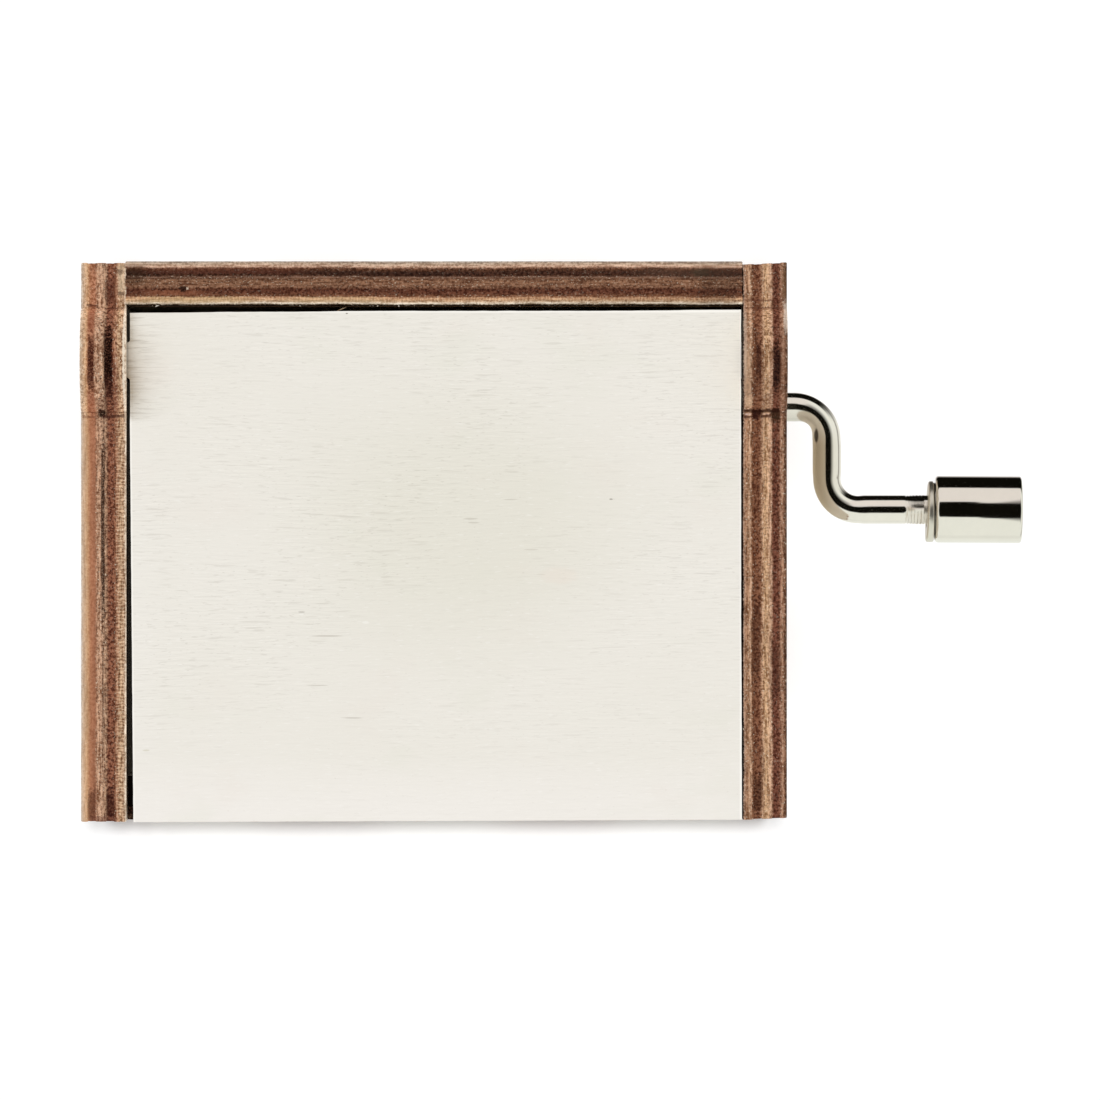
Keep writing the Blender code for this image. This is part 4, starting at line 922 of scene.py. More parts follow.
edge_front = burnt_edge(
    "burnt_ply_front", 1, Y_FRONT, 1.0, 0, 2, RIM_FRONT, UPRIGHT, 33.0,
    # painted shade: the front wall's top edge darkened, brown to near black, at both ends under the slits beside the
    # lid
    patches=[(-28.4, 2.0, 0.3, 0.6, (38, 24, 17), 1.3), (-28.4, 2.0, 2.9, 2.1, (10, 6, 4), 1.5), (28.4, 2.0, 2.0, 3.2, (10, 6, 4), 1.5)],
    grit=0.7,
)
edge_floor = burnt_edge("burnt_ply_bottom", 2, 0.0, 1.0, 0, 1, RIM_FRONT, UPRIGHT, 43.0, grit=0.7)
edge_lid = burnt_edge("burnt_ply_lid", 2, RIM_Z, -1.0, 0, 1, RIM_FRONT, UPRIGHT, 53.0, grit=0.7)

# ------------------------------------------------------------------- the case
h = GLUE / 2


def side_outline():
    pts = [(Y_FRONT, 0)]
    for a, b in TABS_Y:
        pts += [(a - h, 0), (a - h, PLY + h), (b + h, PLY + h), (b + h, 0)]
    pts.append((Y_BACK, 0))
    for a, b in TABS_Z:
        pts += [(Y_BACK, a - h), (Y_BACK_IN - h, a - h), (Y_BACK_IN - h, b + h), (Y_BACK, b + h)]
    pts.append((Y_BACK, RIM_Z))
    low = math.asin((RIM_Z - PIVOT_Z) / HUMP_R)
    n = 44
    for i in range(n + 1):
        a = low + (math.pi - 2 * low) * i / n
        pts.append((PIVOT_Y + HUMP_R * math.cos(a), PIVOT_Z + HUMP_R * math.sin(a)))
    pts.append((Y_FRONT, RIM_Z))
    for a, b in reversed(TABS_Z):
        pts += [(Y_FRONT, b + h), (Y_FRONT_IN + h, b + h), (Y_FRONT_IN + h, a - h), (Y_FRONT, a - h)]
    return pts


def end_outline(top):
    pts = [(-IN_W + h, 0)]
    for a, b in TABS_X:
        pts += [(a - h, 0), (a - h, PLY + h), (b + h, PLY + h), (b + h, 0)]
    pts.append((IN_W - h, 0))
    for a, b in TABS_Z:
        pts += [(IN_W - h, a + h), (HALF_W, a + h), (HALF_W, b - h), (IN_W - h, b - h)]
    pts += [(IN_W - h, top), (-IN_W + h, top)]
    for a, b in reversed(TABS_Z):
        pts += [(-IN_W + h, b - h), (-HALF_W, b - h), (-HALF_W, a + h), (-IN_W + h, a + h)]
    return pts


def bottom_outline():
    x, y0, y1 = IN_W - h, Y_FRONT_IN + h, Y_BACK_IN - h
    pts = [(-x, y0)]
    for a, b in TABS_X:
        pts += [(a + h, y0), (a + h, Y_FRONT), (b - h, Y_FRONT), (b - h, y0)]
    pts.append((x, y0))
    for a, b in TABS_Y:
        pts += [(x, a + h), (HALF_W, a + h), (HALF_W, b - h), (x, b - h)]
    pts.append((x, y1))
    for a, b in reversed(TABS_X):
        pts += [(b - h, y1), (b - h, Y_BACK_OUT), (a + h, Y_BACK_OUT), (a + h, y1)]
    pts.append((-x, y1))
    for a, b in reversed(TABS_Y):
        pts += [(-x, b - h), (-HALF_W, b - h), (-HALF_W, a + h), (-x, a + h)]
    return pts


def arc(cx, cy, r, a0, a1, n=5):
    return [
        (cx + r * math.cos(math.radians(a0 + (a1 - a0) * i / n)), cy + r * math.sin(math.radians(a0 + (a1 - a0) * i / n)))
        for i in range(n + 1)
    ]


def lid_outline():
    """The lid, its front edge and its left side a hair out of square as cut."""
    (x0, x1), (y0, y1), f = LID_X, LID_Y, 0.26
    low, high = PIVOT_Y - EAR_HALF, PIVOT_Y + EAR_HALF
    f1 = 0.09

    def side(y):
        return x0 + 0.034 + 0.0088 * max(0.0, 9.97 - y)

    pts = [(side(y0), y0), (x1 + 0.09, y0 + 0.23), (x1 + 0.065, -21.0), (x1 + 0.055, -16.5), (x1 + 0.035, -12.0), (x1, -7.5)]
    pts += arc(x1 + f1, low - f1, f1, 180, 90, 3)
    pts += [(EAR_STEP[1], low), (EAR_END, low), (EAR_END, high), (EAR_STEP[1], high)]
    pts += arc(x1 + f1, high + f1, f1, 270, 180, 3)
    pts += [(x1, y1 + 0.165), (24.1, y1 + 0.15), (20.5, y1 + 0.09), (15.0, y1 + 0.06), (-8.0, y1 + 0.04), (-11.0, y1 - 0.015)]
    pts += [(-19.4, y1 - 0.045), (-22.0, y1 - 0.09), (side(y1), y1 - 0.13)]
    pts += arc(side(high) - f, high + f, f, 0, -90)
    pts += [(-EAR_END, high), (-EAR_END, low)]
    pts += arc(side(low) - f, low - f, f, 90, 0)
    pts.append((side(9.97), 9.97))
    return pts


def pared_ear(spot):
    """The right ear is pared down where it enters the wall."""
    x, y, z = spot
    if x > sum(EAR_STEP) / 2:
        z = PIVOT_Z + (z - PIVOT_Z) * 0.62
    return (x, y, z)


def right_lean(spot):
    """The right wall's ends were cut a little out of square."""
    x, y, z = spot
    share = (x - IN_W) / PLY
    if y < -24.0:
        y += 0.10 + 0.18 * share
    elif y > 24.0:
        y += -0.16 + 0.22 * share
    x -= 0.07 * (1.0 - share) * max(0.0, z - RIM_Z) / 3.2
    return (x, y, z)


def left_lean(spot):
    """The left wall's front end, and its rim, which the cut left a hair wide."""
    x, y, z = spot
    if y < -24.0:
        y -= 0.07
    lip = max(0.0, min(1.0, (z - 39.0) / 0.8))
    share = (x + HALF_W) / PLY
    if x > -IN_W - 0.05:
        x += 0.125 * lip
    elif x < -HALF_W + 0.05:
        x -= 0.01 * max(0.0, min(1.0, 41.0 - z))
    x += (0.035 + 0.11 * share) * max(0.0, z - RIM_Z) / 3.2
    return (x, y, z)


ear_hole = circle(PIVOT_Y, PIVOT_Z, EAR_HOLE_R, 64)
crank_hole = circle(CRANK_Y, CRANK_Z, CRANK_HOLE_R, 64)
panel("left_wall", [side_outline(), ear_hole], lambda u, v, w: (-HALF_W + w, u, v), "case", [face_left, edge_left], 1.0, warp=left_lean)
panel(
    "right_wall",
    [side_outline(), ear_hole, crank_hole],
    lambda u, v, w: (HALF_W - w, u, v),
    "case",
    [face_right, edge_right],
    2.0,
    warp=right_lean,
)
panel("front_wall", [end_outline(RIM_Z - PLY - GLUE)], lambda u, v, w: (u, Y_FRONT + w, v), "case", [face_x, edge_front], 3.0)
panel("back_wall", [end_outline(RIM_Z)], lambda u, v, w: (u, Y_BACK_OUT - w, v), "case", [face_back, edge_back], 4.0)
panel(
    "bottom_panel",
    [bottom_outline(), *(circle(x, y, 1.38, 40) for x, y in MOUNTS_XY)],
    lambda u, v, w: (u, v, w),
    "case",
    [face_x, edge_floor],
    5.0,
)
ear_ties = [((x, PIVOT_Y - EAR_HALF), (x, PIVOT_Y + EAR_HALF)) for x in EAR_STEP]
panel("lid", [lid_outline()], lambda u, v, w: (u, v, RIM_Z - w), "lid", [face_lid, edge_lid], 6.0, warp=pared_ear, rim=0.0, ties=ear_ties)

# ------------------------------------------------------------- torn fibres
torn, g, shader = material("torn_fibre", Roughness=0.75, Specular_IOR_Level=0.0)
g.put(shader.inputs["Base Color"], g.ramp(g.noise(g.coords(), 2.2, 3.0), [(0.35, lin(206, 184, 152)), (0.6, lin(252, 246, 234))]))
hair, g, shader = material("loose_hair", Roughness=0.7, Specular_IOR_Level=0.0)
g.put(shader.inputs["Base Color"], g.ramp(g.noise(g.coords(), 2.2, 3.0), [(0.35, lin(112, 88, 66)), (0.6, lin(168, 146, 118))]))


def fibres(name, strands, body, finish):
    """Tapered slivers of wood; a strand is (points, thickest radius)."""
    work = bmesh.new()
    for pts, size in strands:
        rings = []
        for i, p in enumerate(pts):
            along = (Vector(pts[min(i + 1, len(pts) - 1)]) - Vector(pts[max(i - 1, 0)])).normalized()
            side = along.cross(Vector((0, 0, 1))).normalized()
            up = along.cross(side)
            r = size * (1 - 0.8 * (i / (len(pts) - 1)) ** 1.5)
            rings.append([work.verts.new(Vector(p) + (side * math.cos(k * math.pi / 3) + up * 0.6 * math.sin(k * math.pi / 3)) * r) for k in range(6)])
        for low, high in zip(rings, rings[1:], strict=False):
            for k in range(6):
                work.faces.new((low[k], low[(k + 1) % 6], high[(k + 1) % 6], high[k]))
        work.faces.new(list(reversed(rings[0])))
        work.faces.new(rings[-1])
    work.transform(Matrix.Scale(MM, 4))
    bmesh.ops.recalc_face_normals(work, faces=work.faces)
    mesh = bpy.data.meshes.new(name)
    work.to_mesh(mesh)
    work.free()
    return add_object(name, mesh, body, (), [finish])


strands = [
    ([(-24.80, 21.62, 39.78), (-24.95, 21.50, 39.84), (-25.12, 21.41, 39.77), (-25.30, 21.32, 39.68)], 0.075),
    ([(-3.20, 21.66, 39.78), (-3.18, 21.50, 39.84), (-3.20, 21.40, 39.76), (-3.16, 21.31, 39.66)], 0.085),
    ([(-5.07, 21.60, 39.78), (-5.09, 21.48, 39.83), (-5.13, 21.39, 39.75), (-5.12, 21.33, 39.68)], 0.075),
    ([(-1.80, 21.58, 39.78), (-1.79, 21.48, 39.83), (-1.77, 21.42, 39.77), (-1.78, 21.38, 39.72)], 0.06),
]
pick = random.Random(11)
for _ in range(46):
    x, y = pick.uniform(-27.6, 27.6), Y_BACK_IN - pick.uniform(-0.02, 0.10)
    lean = pick.uniform(-0.16, 0.16)
    z = 39.85 + pick.uniform(-0.07, 0.02)
    strands.append(([(x, Y_BACK_IN + 0.16, z - 0.06), (x + lean * 0.4, Y_BACK_IN + 0.06, z), (x + lean, y, z - 0.11)], pick.uniform(0.03, 0.055)))
fibres("back_wall_fibres", strands, "case", torn)
fibres(
    "lid_fibre",
    [([(-8.86, 20.86, 39.80), (-8.62, 21.02, 39.90), (-8.36, 21.13, 39.94), (-8.12, 21.22, 39.92), (-7.94, 21.29, 39.86)], 0.05)],
    "lid",
    hair,
)

# -------------------------------------------------------------- metal pieces


def plated(name, colour, rough, brushed=None, seed=0.0, scratch=0.25, matt=None, groove_shade=None, reflection_tints=(), reflection_blot=None):
    """Polished or brushed metal with faint rub marks and dull patches.

    matt gives a stretch along X, (from, to, roughness, top), worked rough below
    y = top, with darker stripes across it. A groove stretch, (from, to), gets
    painted shade; tinted stretches, (from, to, tint, top), get painted reflection,
    tinted up to there and below y = top; a spot, (x, y, half x, half y), gets a
    painted dark reflection.
    """
    mat, g, shader = material(name, Metallic=1.0)
    p = g.coords()
    by = [1.5] * 3 if brushed is None else [6.0 if i != brushed else 0.5 for i in range(3)]
    rub = g.noise(g.shifted(g.scaled(p, by), (seed, 0, 0)), 1.0, 5.0, 0.6)
    cloud = g.noise(g.shifted(p, (0, seed, 0)), 0.35, 3.0, 0.55)
    fine = g.noise(g.scaled(p, (3.0, 9.0, 9.0)), 1.6, 2.0, 0.5)
    tone = g.math("ADD", 0.955, g.math("MULTIPLY", cloud, 0.07))
    tone = g.math("ADD", tone, g.math("MULTIPLY", g.math("SUBTRACT", rub, 0.5), 0.05))
    x, y, _ = g.split(p)
    base = g.times(g.mix(1.0, colour, colour), tone)
    spread = g.math("ADD", rough * 0.7, g.math("MULTIPLY", cloud, rough * 0.6))
    spread = g.math("ADD", spread, g.math("MULTIPLY", g.step(rub, 0.55, 0.8), scratch * rough))
    if matt:
        worked = g.math("MULTIPLY", g.step(x, matt[0], matt[1]), g.step(y, matt[3] - 0.15, matt[3] + 0.1, 1.0, 0.0))
        spread = g.math("ADD", spread, g.math("MULTIPLY", worked, g.math("ADD", matt[2] - 0.1, g.math("MULTIPLY", rub, 0.2))))
        marks = g.math("SINE", g.math("ADD", g.math("MULTIPLY", x, 2 * math.pi / 0.29), g.math("MULTIPLY", cloud, 4.0)))
        marks = g.math("MULTIPLY", g.step(marks, 0.1, 0.9), g.step(rub, 0.42, 0.60))
        base = g.mix(g.math("MULTIPLY", g.math("MULTIPLY", marks, worked), 0.28), base, lin(92, 84, 72))
    # painted reflection: stretches of the polished wire tinted darker, standing in for what it reflects there
    for low, high, tint, top in reflection_tints:
        brown = g.math("MULTIPLY", g.step(x, low, high, 1.0, 0.0), g.step(y, top - 1.3, top + 0.9, 1.0, 0.0))
        base = g.mix(brown, base, g.scaled(base, tint))
    # painted reflection: a dark brown spot on the wire, standing in for a dark reflection
    if reflection_blot:
        off_x = g.math("DIVIDE", g.math("SUBTRACT", x, reflection_blot[0]), reflection_blot[2])
        off_y = g.math("DIVIDE", g.math("SUBTRACT", y, reflection_blot[1]), reflection_blot[3])
        off = g.math("ADD", g.math("MULTIPLY", off_x, off_x), g.math("MULTIPLY", off_y, off_y))
        base = g.mix(g.math("MULTIPLY", g.step(off, 0.3, 1.1, 1.0, 0.0), 0.85), base, lin(44, 26, 22))
    # painted shade in the narrow groove between the washer and the knob
    if groove_shade:
        groove_shade_mask = g.step(x, groove_shade[0], groove_shade[1], 1.0, 0.0)
        base = g.mix(g.math("MULTIPLY", groove_shade_mask, 0.85), base, lin(46, 42, 34))
        spread = g.math("ADD", spread, g.math("MULTIPLY", groove_shade_mask, 0.5))
    g.put(shader.inputs["Base Color"], base)
    g.put(shader.inputs["Roughness"], spread)
    g.put(shader.inputs["Normal"], g.bump(g.math("ADD", g.math("MULTIPLY", rub, 0.6), g.math("MULTIPLY", fine, 0.4)), 0.004, 0.25))
    return mat


def smooth_profile(profile, closed=False):
    """Rounds marked corners: a point may be (r, h, fillet)."""
    pts = []
    n = len(profile)
    for i, p in enumerate(profile):
        r = p[2] if len(p) > 2 else 0.0
        if r <= 0 or (not closed and i in (0, n - 1)):
            pts.append((p[0], p[1]))
            continue
        here = Vector(p[:2])
        a = Vector(profile[i - 1][:2]) - here
        b = Vector(profile[(i + 1) % n][:2]) - here
        la, lb = a.length, b.length
        a.normalize()
        b.normalize()
        half = math.acos(max(-1, min(1, a.dot(b)))) / 2
        reach = min(r / math.tan(half), la * 0.49, lb * 0.49)
        radius = reach * math.tan(half)
        centre = here + (a + b).normalized() * (radius / math.sin(half))
        start, end = here + a * reach, here + b * reach
        a0 = math.atan2(*(start - centre).yx)
        a1 = math.atan2(*(end - centre).yx)
        turn = (a1 - a0 + math.pi) % (2 * math.pi) - math.pi
        for k in range(6):
            t = a0 + turn * k / 5
            pts.append((centre.x + radius * math.cos(t), centre.y + radius * math.sin(t)))
    return pts


def lathe_mesh(name, profile, axis, origin, steps=96, closed=True):
    """A closed turned mesh round an axis through origin, in frame millimetres."""
    pts = smooth_profile(profile, closed)
    work = bmesh.new()
    rings = []
    ends = [work.verts.new((0, 0, h)) if r < 1e-9 else None for r, h in pts]
    for (r, h), lone in zip(pts, ends, strict=True):
        if lone is not None:
            rings.append([lone] * steps)
            continue
        rings.append(
            [work.verts.new((r * math.cos(2 * math.pi * i / steps), r * math.sin(2 * math.pi * i / steps), h)) for i in range(steps)]
        )
    pairs = list(zip(rings, rings[1:], strict=False))
    if closed:
        pairs.append((rings[-1], rings[0]))
    for low, high in pairs:
        for i in range(steps):
            j = (i + 1) % steps
            quad = []
            for v in (low[i], low[j], high[j], high[i]):
                if v not in quad:
                    quad.append(v)
            if len(quad) > 2:
                work.faces.new(quad)
    turn = {"X": Matrix.Rotation(math.pi / 2, 4, "Y"), "Y": Matrix.Rotation(-math.pi / 2, 4, "X"), "Z": Matrix.Identity(4)}[axis]
    work.transform(Matrix.Scale(MM, 4) @ Matrix.Translation(Vector(origin)) @ turn)
    bmesh.ops.recalc_face_normals(work, faces=work.faces)
    for f in work.faces:
        f.smooth = True
    mesh = bpy.data.meshes.new(name)
    work.to_mesh(mesh)
    work.free()
    mesh.set_sharp_from_angle(angle=math.radians(32))
    return mesh


# painted shade in the knob's groove by the washer; the wire's tinted stretches and dark spot are painted reflection
nickel = plated("polished_nickel", lin(237, 231, 220), 0.085, seed=1.0, groove_shade=(46.2, 46.27))
nickel_wire = plated("plated_wire", lin(240, 233, 222), 0.12, seed=4.0, scratch=0.5, matt=(43.3, 43.9, 0.26, KNOB_Y + 0.78), reflection_tints=((35.2, 37.7, (0.74, 0.68, 0.59), 10.1), (33.7, 35.0, (0.66, 0.65, 0.63), 11.7)), reflection_blot=(35.22, 9.88, 0.22, 0.75))
nickel_dull = plated("dull_nickel", lin(226, 220, 206), 0.36, seed=6.0, scratch=0.5)

knob = lathe_mesh(
    "crank_knob",
    [
        (KNOB_R, KNOB_X[1], 0.24),
        (KNOB_R, KNOB_X[0] + 0.03, 0.44),
        (2.45, KNOB_X[0] + 0.03),
        (2.45, KNOB_X[0] - 0.07),
        (1.45, KNOB_X[0] - 0.07),
        (1.45, KNOB_X[1] - 1.25),
        (2.15, KNOB_X[1] - 1.25),
        (2.15, KNOB_X[1], 0.08),
    ],
    "X",
    (0, KNOB_Y, CRANK_Z),
    160,
)
# it sits a third of a degree askew on the wire
skew = (
    Matrix.Translation(Vector((sum(KNOB_X) / 2, KNOB_Y, CRANK_Z)) * MM)
    @ Matrix.Rotation(math.radians(-0.35), 4, "Z")
    @ Matrix.Translation(Vector((-sum(KNOB_X) / 2, -KNOB_Y, -CRANK_Z)) * MM)
)
knob.transform(skew)
crank_pieces = [add_object("crank_knob", knob, "knob", ["crank_knob"], [nickel])]

washer = lathe_mesh(
    "knob_washer",
    [
        (WASHER_R, WASHER_X[1], 0.16),
        (WASHER_R, WASHER_X[0], 0.2),
        (1.52, WASHER_X[0], 0.08),
        (1.52, WASHER_X[1], 0.05),
    ],
    "X",
    (0, KNOB_Y - WASHER_SAG, CRANK_Z),
    128,
)
# pressed a little out of flat: its outer side leans
for v in washer.vertices:
    if v.co.x < 45.8 * MM:
        v.co.x += 0.044 * (v.co.y - KNOB_Y * MM)
crank_pieces.append(add_object("knob_washer", washer, "crank", ["knob_washer"], [nickel_dull]))


def wire_centre():
    """Points of the wire's middle, in the crank's plane."""
    pts = [(20.65, CRANK_Y), (27.0, CRANK_Y), (30.0, CRANK_Y), (ARM_X - BEND_1, CRANK_Y)]
    n = 26
    for i in range(1, n + 1):
        t = math.radians(90 - 90 * i / n)
        pts.append((ARM_X - BEND_1 + BEND_1 * math.cos(t), CRANK_Y - BEND_1 + BEND_1 * math.sin(t)))
    straight = (CRANK_Y - BEND_1, KNOB_Y + BEND_2)
    pts += [(ARM_X, straight[0] + (straight[1] - straight[0]) * i / 6) for i in range(1, 6)]
    for i in range(n + 1):
        t = math.radians(180 + 90 * i / n)
        pts.append((ARM_X + BEND_2 + BEND_2 * math.cos(t), KNOB_Y + BEND_2 + BEND_2 * math.sin(t)))
    x = ARM_X + BEND_2
    while x < 42.8:
        x += 0.55
        pts.append((min(x, 42.8), KNOB_Y))
    x = 42.8
    while x < 45.14:
        x += 0.045
        pts.append((x, KNOB_Y))
    pts += [(45.2, KNOB_Y), (45.22, KNOB_Y), (45.6, KNOB_Y), (KNOB_X[1] - 1.15, KNOB_Y)]
    return pts


def crank_mesh():
    pts = wire_centre()
    around = 72
    work = bmesh.new()
    rings = []
    for i, (x, y) in enumerate(pts):
        a = Vector(pts[max(i - 1, 0)])
        b = Vector(pts[min(i + 1, len(pts) - 1)])
        along = (b - a).normalized()
        across = Vector((-along.y, along.x))
        squeeze = 0.0
        if 43.3 < x < 45.21:
            squeeze = min(1.0, (x - 43.3) / 1.35)
            squeeze = squeeze * squeeze * (3 - 2 * squeeze)
        bend = 0.0
        in_bend_1 = (ARM_X - BEND_1 - 0.3 < x < ARM_X + 0.2) and y > CRANK_Y - BEND_1 - 0.5
        in_bend_2 = (ARM_X - 0.2 < x < ARM_X + BEND_2 + 0.3) and y < KNOB_Y + BEND_2 + 0.5
        if in_bend_1 or in_bend_2:
            bend = 0.035
        inner = 1.0
        if in_bend_1:
            a = math.atan2(y - (CRANK_Y - BEND_1), x - (ARM_X - BEND_1))
            inner = 1.05 + 0.05 * max(0.0, min(1.0, a * 2 / math.pi)) - 0.175 * max(0.0, math.sin(2 * a)) ** 2
        ring = []
        for k in range(around):
            t = 2 * math.pi * k / around
            c, s = math.cos(t), math.sin(t)
            r = WIRE_R
            # a bent wire flattens slightly across the bend
            side, up = r * (1 - bend) * c, r * (1 + bend * 0.5) * s
            if c < 0:
                side *= 1 + (inner - 1) * abs(c)
            if squeeze:
                fin = abs(s) ** 26
                flank = math.exp(-((s / 0.62) ** 2))
                up *= 1 + 0.31 * squeeze * fin
                side *= 1 - squeeze * (0.30 * (1 - flank) * (abs(s) < 0.999) - 0.05 * flank) * (0.65 + 0.35 * (1 - fin)) * (0.6 if c > 0 else 1.0)
                if x > 43.55:
                    # the jaws' teeth left ridges across the flanks
                    tooth = 0.5 + 0.5 * math.cos(2 * math.pi * (x - 43.55) / 0.29 + 0.5 * math.sin(5 * x))
                    low_side = 0.35 + 0.65 * max(0.0, min(1.0, 0.4 - 1.6 * c))
                    side *= 1 - 0.06 * tooth * flank
                    up *= 1 - 0.045 * tooth * low_side * (1 - fin)
            q = Vector((x, y)) + across * side
            ring.append(work.verts.new((q.x, q.y, CRANK_Z + up)))
        rings.append(ring)
    for low, high in zip(rings, rings[1:], strict=False):
        for k in range(around):
            j = (k + 1) % around
            work.faces.new((low[k], low[j], high[j], high[k]))
    work.faces.new(rings[0])
    # the wire's end, riveted over inside the knob's recess
    x1 = KNOB_X[1] - 1.15
    last = rings[-1]
    for x, r in ((x1 + 0.02, 1.95), (x1 + 0.42, 1.95), (x1 + 0.62, 1.8), (x1 + 0.7, 1.45), (x1 + 0.72, 0.7)):
        ring = []
        for k in range(around):
            t = 2 * math.pi * k / around
            dent = 1 + 0.012 * math.sin(3 * t + 1) + 0.008 * math.sin(7 * t)
            ring.append(work.verts.new((x, KNOB_Y + r * dent * math.cos(t), CRANK_Z + r * dent * math.sin(t))))
        for k in range(around):
            j = (k + 1) % around
            work.faces.new((last[k], last[j], ring[j], ring[k]))
        last = ring
    work.faces.new(list(reversed(last)))
    work.transform(Matrix.Scale(MM, 4))
    bmesh.ops.recalc_face_normals(work, faces=work.faces)
    for f in work.faces:
        f.smooth = True
    mesh = bpy.data.meshes.new("crank_arm")
    work.to_mesh(mesh)
    work.free()
    mesh.set_sharp_from_angle(angle=math.radians(40))
    return mesh


crank_pieces.append(add_object("crank_arm", crank_mesh(), "crank", ["crank_arm"], [nickel_wire]))
for piece in crank_pieces:
    piece.visible_shadow = False

# --------------------------------------------------------------- the movement
zinc = plated("cast_zinc", lin(198, 196, 190), 0.40, seed=9.0, scratch=0.6)
steel = plated("bright_steel", lin(220, 216, 208), 0.2, brushed=0, seed=12.0)
comb_steel = plated("ground_steel", lin(206, 204, 200), 0.28, brushed=1, seed=15.0)
brass = plated("turned_brass", lin(228, 190, 118), 0.2, brushed=0, seed=18.0)
drum_metal = plated("drum_plating", lin(226, 212, 176), 0.22, brushed=1, seed=21.0)
lead = plated("cast_lead", lin(128, 128, 134), 0.55, seed=24.0)
nylon, g, shader = material("white_nylon", Roughness=0.42, Specular_IOR_Level=0.4)
cloud = g.noise(g.coords(), 0.8, 4.0)
g.put(shader.inputs["Base Color"], g.ramp(cloud, [(0.3, lin(226, 222, 210)), (0.7, lin(238, 235, 226))]))
g.put(shader.inputs["Roughness"], g.math("ADD", 0.36, g.math("MULTIPLY", cloud, 0.14)))


def eased(name, width, finish, body):
    """A part of the movement with every sharp edge broken by width, mm."""
    work = bmesh.new()
    work.from_mesh(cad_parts[name].data)
    bmesh.ops.remove_doubles(work, verts=work.verts, dist=1e-6)
    bmesh.ops.dissolve_limit(work, angle_limit=math.radians(0.4), verts=work.verts, edges=work.edges)
    bmesh.ops.recalc_face_normals(work, faces=work.faces)
    for f in work.faces:
        f.smooth = True
    mesh = bpy.data.meshes.new(name)
    work.to_mesh(mesh)
    work.free()
    obj = add_object(name, mesh, body, [name], [finish])
    edge = obj.modifiers.new("eased", "BEVEL")
    edge.width = width * MM
    edge.segments = 2
    edge.limit_method = "ANGLE"
    edge.angle_limit = math.radians(33)
    edge.use_clamp_overlap = True
    edge.harden_normals = True
    return obj


for name, width, slot, finish, body in (
    ("bedplate", 0.16, "casting", zinc, "case"),
    ("comb", 0.05, "spring_steel", comb_steel, "case"),
    ("comb_screw_front", 0.07, "screw_steel", steel, "case"),
    ("comb_screw_rear", 0.07, "screw_steel", steel, "case"),
    ("bearing_plate", 0.09, "screw_steel", steel, "case"),
    ("plate_screw_left", 0.05, "screw_steel", steel, "case"),
    ("plate_screw_right", 0.05, "screw_steel", steel, "case"),
    ("mount_screw_1", 0.05, "screw_steel", steel, "case"),
    ("mount_screw_2", 0.05, "screw_steel", steel, "case"),
    ("mount_screw_3", 0.05, "screw_steel", steel, "case"),
    ("worm_bush", 0.08, "turned_brass", brass, "case"),
    ("worm_clip", 0.05, "screw_steel", steel, "crank"),
    ("drum_arbor", 0.05, "screw_steel", steel, "drum"),
    ("drum_cap", 0.08, "nylon", nylon, "drum"),
    ("worm_wheel", 0.07, "nylon", nylon, "drum"),
):
    eased(name, width, finish, body)
for i in range(6):
    eased(f"bass_weight_{i + 1}", 0.03, lead, "case")

drum = lathe_mesh(
    "drum",
    [(DRUM_R, DRUM_Y[1], 0.16), (DRUM_R, DRUM_Y[0], 0.16), (DRUM_IN_R, DRUM_Y[0], 0.05), (DRUM_IN_R, DRUM_Y[1], 0.05)],
    "Y",
    (DRUM_X, 0, DRUM_Z),
    144,
)
add_object("drum", drum, "drum", ["drum"], [drum_metal])


def pins_mesh():
    """The tune's pins: tapered, with round tips, in eighteen tracks."""
    work = bmesh.new()
    for track in range(NOTES):
        y = TRACK_MID + (track - (NOTES - 1) / 2) * PITCH
        for beat in range(34):
            swing = round(8.5 + 6.5 * math.sin(beat * 0.585) + 2.2 * math.sin(beat * 1.45))
            chord = (swing, (swing + 5) % NOTES, (swing * 2 + 7) % NOTES)
            if track not in (chord if beat % 2 == 0 else chord[:2]):
                continue
            a = (beat / 2 + 0.35) * 2 * math.pi / 17
            out = Vector((math.cos(a), 0, -math.sin(a)))
            side = Vector((math.sin(a), 0, math.cos(a)))
            rings = []
            for lift, r in ((-0.12, 0.205), (0.28, 0.19), (PIN_H - 0.06, 0.165), (PIN_H, 0.09)):
                middle = Vector((DRUM_X, y, DRUM_Z)) + out * (DRUM_R + lift)
                rings.append(
                    [work.verts.new(middle + (side * math.cos(k * math.pi / 5) + Vector((0, 1, 0)) * math.sin(k * math.pi / 5)) * r) for k in range(10)]
                )
            for low, high in zip(rings, rings[1:], strict=False):
                for k in range(10):
                    work.faces.new((low[k], low[(k + 1) % 10], high[(k + 1) % 10], high[k]))
            work.faces.new(list(reversed(rings[0])))
            work.faces.new(rings[-1])
    work.transform(Matrix.Scale(MM, 4))
    bmesh.ops.recalc_face_normals(work, faces=work.faces)
    for f in work.faces:
        f.smooth = True
    mesh = bpy.data.meshes.new("drum_pins")
    work.to_mesh(mesh)
    work.free()
    mesh.set_sharp_from_angle(angle=math.radians(50))
    return mesh


add_object("drum_pins", pins_mesh(), "drum", (), [steel])

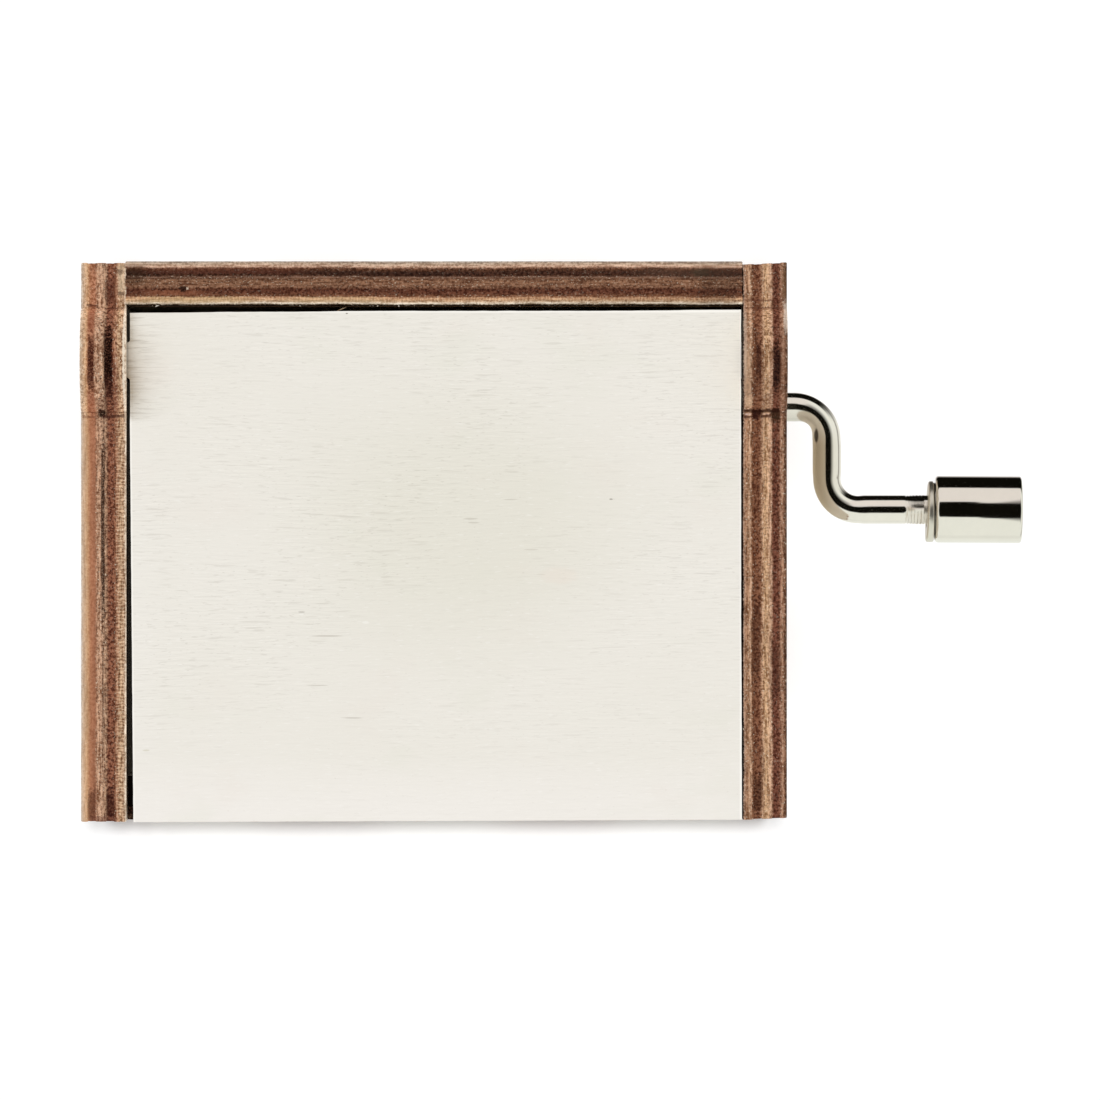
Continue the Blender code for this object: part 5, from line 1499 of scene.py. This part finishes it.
worm = lathe_mesh(
    "worm_shaft",
    [
        (0, 14.4),
        (1.06, 14.4),
        (1.06, 20.6),
        (1.4, 20.6, 0.1),
        (1.6, 20.4, 0.1),
        (1.6, 12.9),
        (1.95, 12.9, 0.14),
        (1.95, 11.4, 0.14),
        (1.5, 11.4),
        (1.5, 2.6),
        (1.9, 2.6, 0.14),
        (1.9, 0.7, 0.14),
        (1.22, 0.7),
        (1.22, -2.95, 0.05),
        (0.85, -2.95),
        (0.85, -3.35),
        (1.22, -3.35, 0.05),
        (1.22, -4.0, 0.1),
        (1.0, -4.2, 0.1),
        (0, -4.2),
    ],
    "X",
    (0, CRANK_Y, CRANK_Z),
    96,
    closed=False,
)


def thread_mesh():
    """The worm's single thread, its crest rounded and both its ends run out."""
    first, last = 3.3, 10.7
    per_turn = 64
    steps = round((last - first) / LEAD * per_turn)
    phase = ((first - DRUM_X) / LEAD % 1.0) * 2 * math.pi - math.pi / 2
    section = [(1.30, -0.58), (2.62, -0.26), (2.72, -0.19), (2.75, -0.08), (2.75, 0.08), (2.72, 0.19), (2.62, 0.26), (1.30, 0.58)]
    work = bmesh.new()
    rings = []
    for i in range(steps + 1):
        t = phase + 2 * math.pi * i / per_turn
        run_out = min(1.0, min(i, steps - i) / (per_turn * 0.2))
        run_out = 0.06 + 0.94 * run_out * run_out * (3 - 2 * run_out)
        ring = []
        for r, dx in section:
            r = 1.30 + (r - 1.30) * run_out
            ring.append(work.verts.new((first + LEAD * i / per_turn + dx, CRANK_Y + r * math.cos(t), CRANK_Z + r * math.sin(t))))
        rings.append(ring)
    n = len(section)
    for low, high in zip(rings, rings[1:], strict=False):
        for k in range(n):
            work.faces.new((low[k], low[(k + 1) % n], high[(k + 1) % n], high[k]))
    work.faces.new(list(reversed(rings[0])))
    work.faces.new(rings[-1])
    work.transform(Matrix.Scale(MM, 4))
    bmesh.ops.recalc_face_normals(work, faces=work.faces)
    for f in work.faces:
        f.smooth = True
    mesh = bpy.data.meshes.new("worm_thread")
    work.to_mesh(mesh)
    work.free()
    mesh.set_sharp_from_angle(angle=math.radians(40))
    return mesh


add_object("worm_shaft", worm, "crank", ["worm_shaft"], [brass])
add_object("worm_thread", thread_mesh(), "crank", (), [brass])
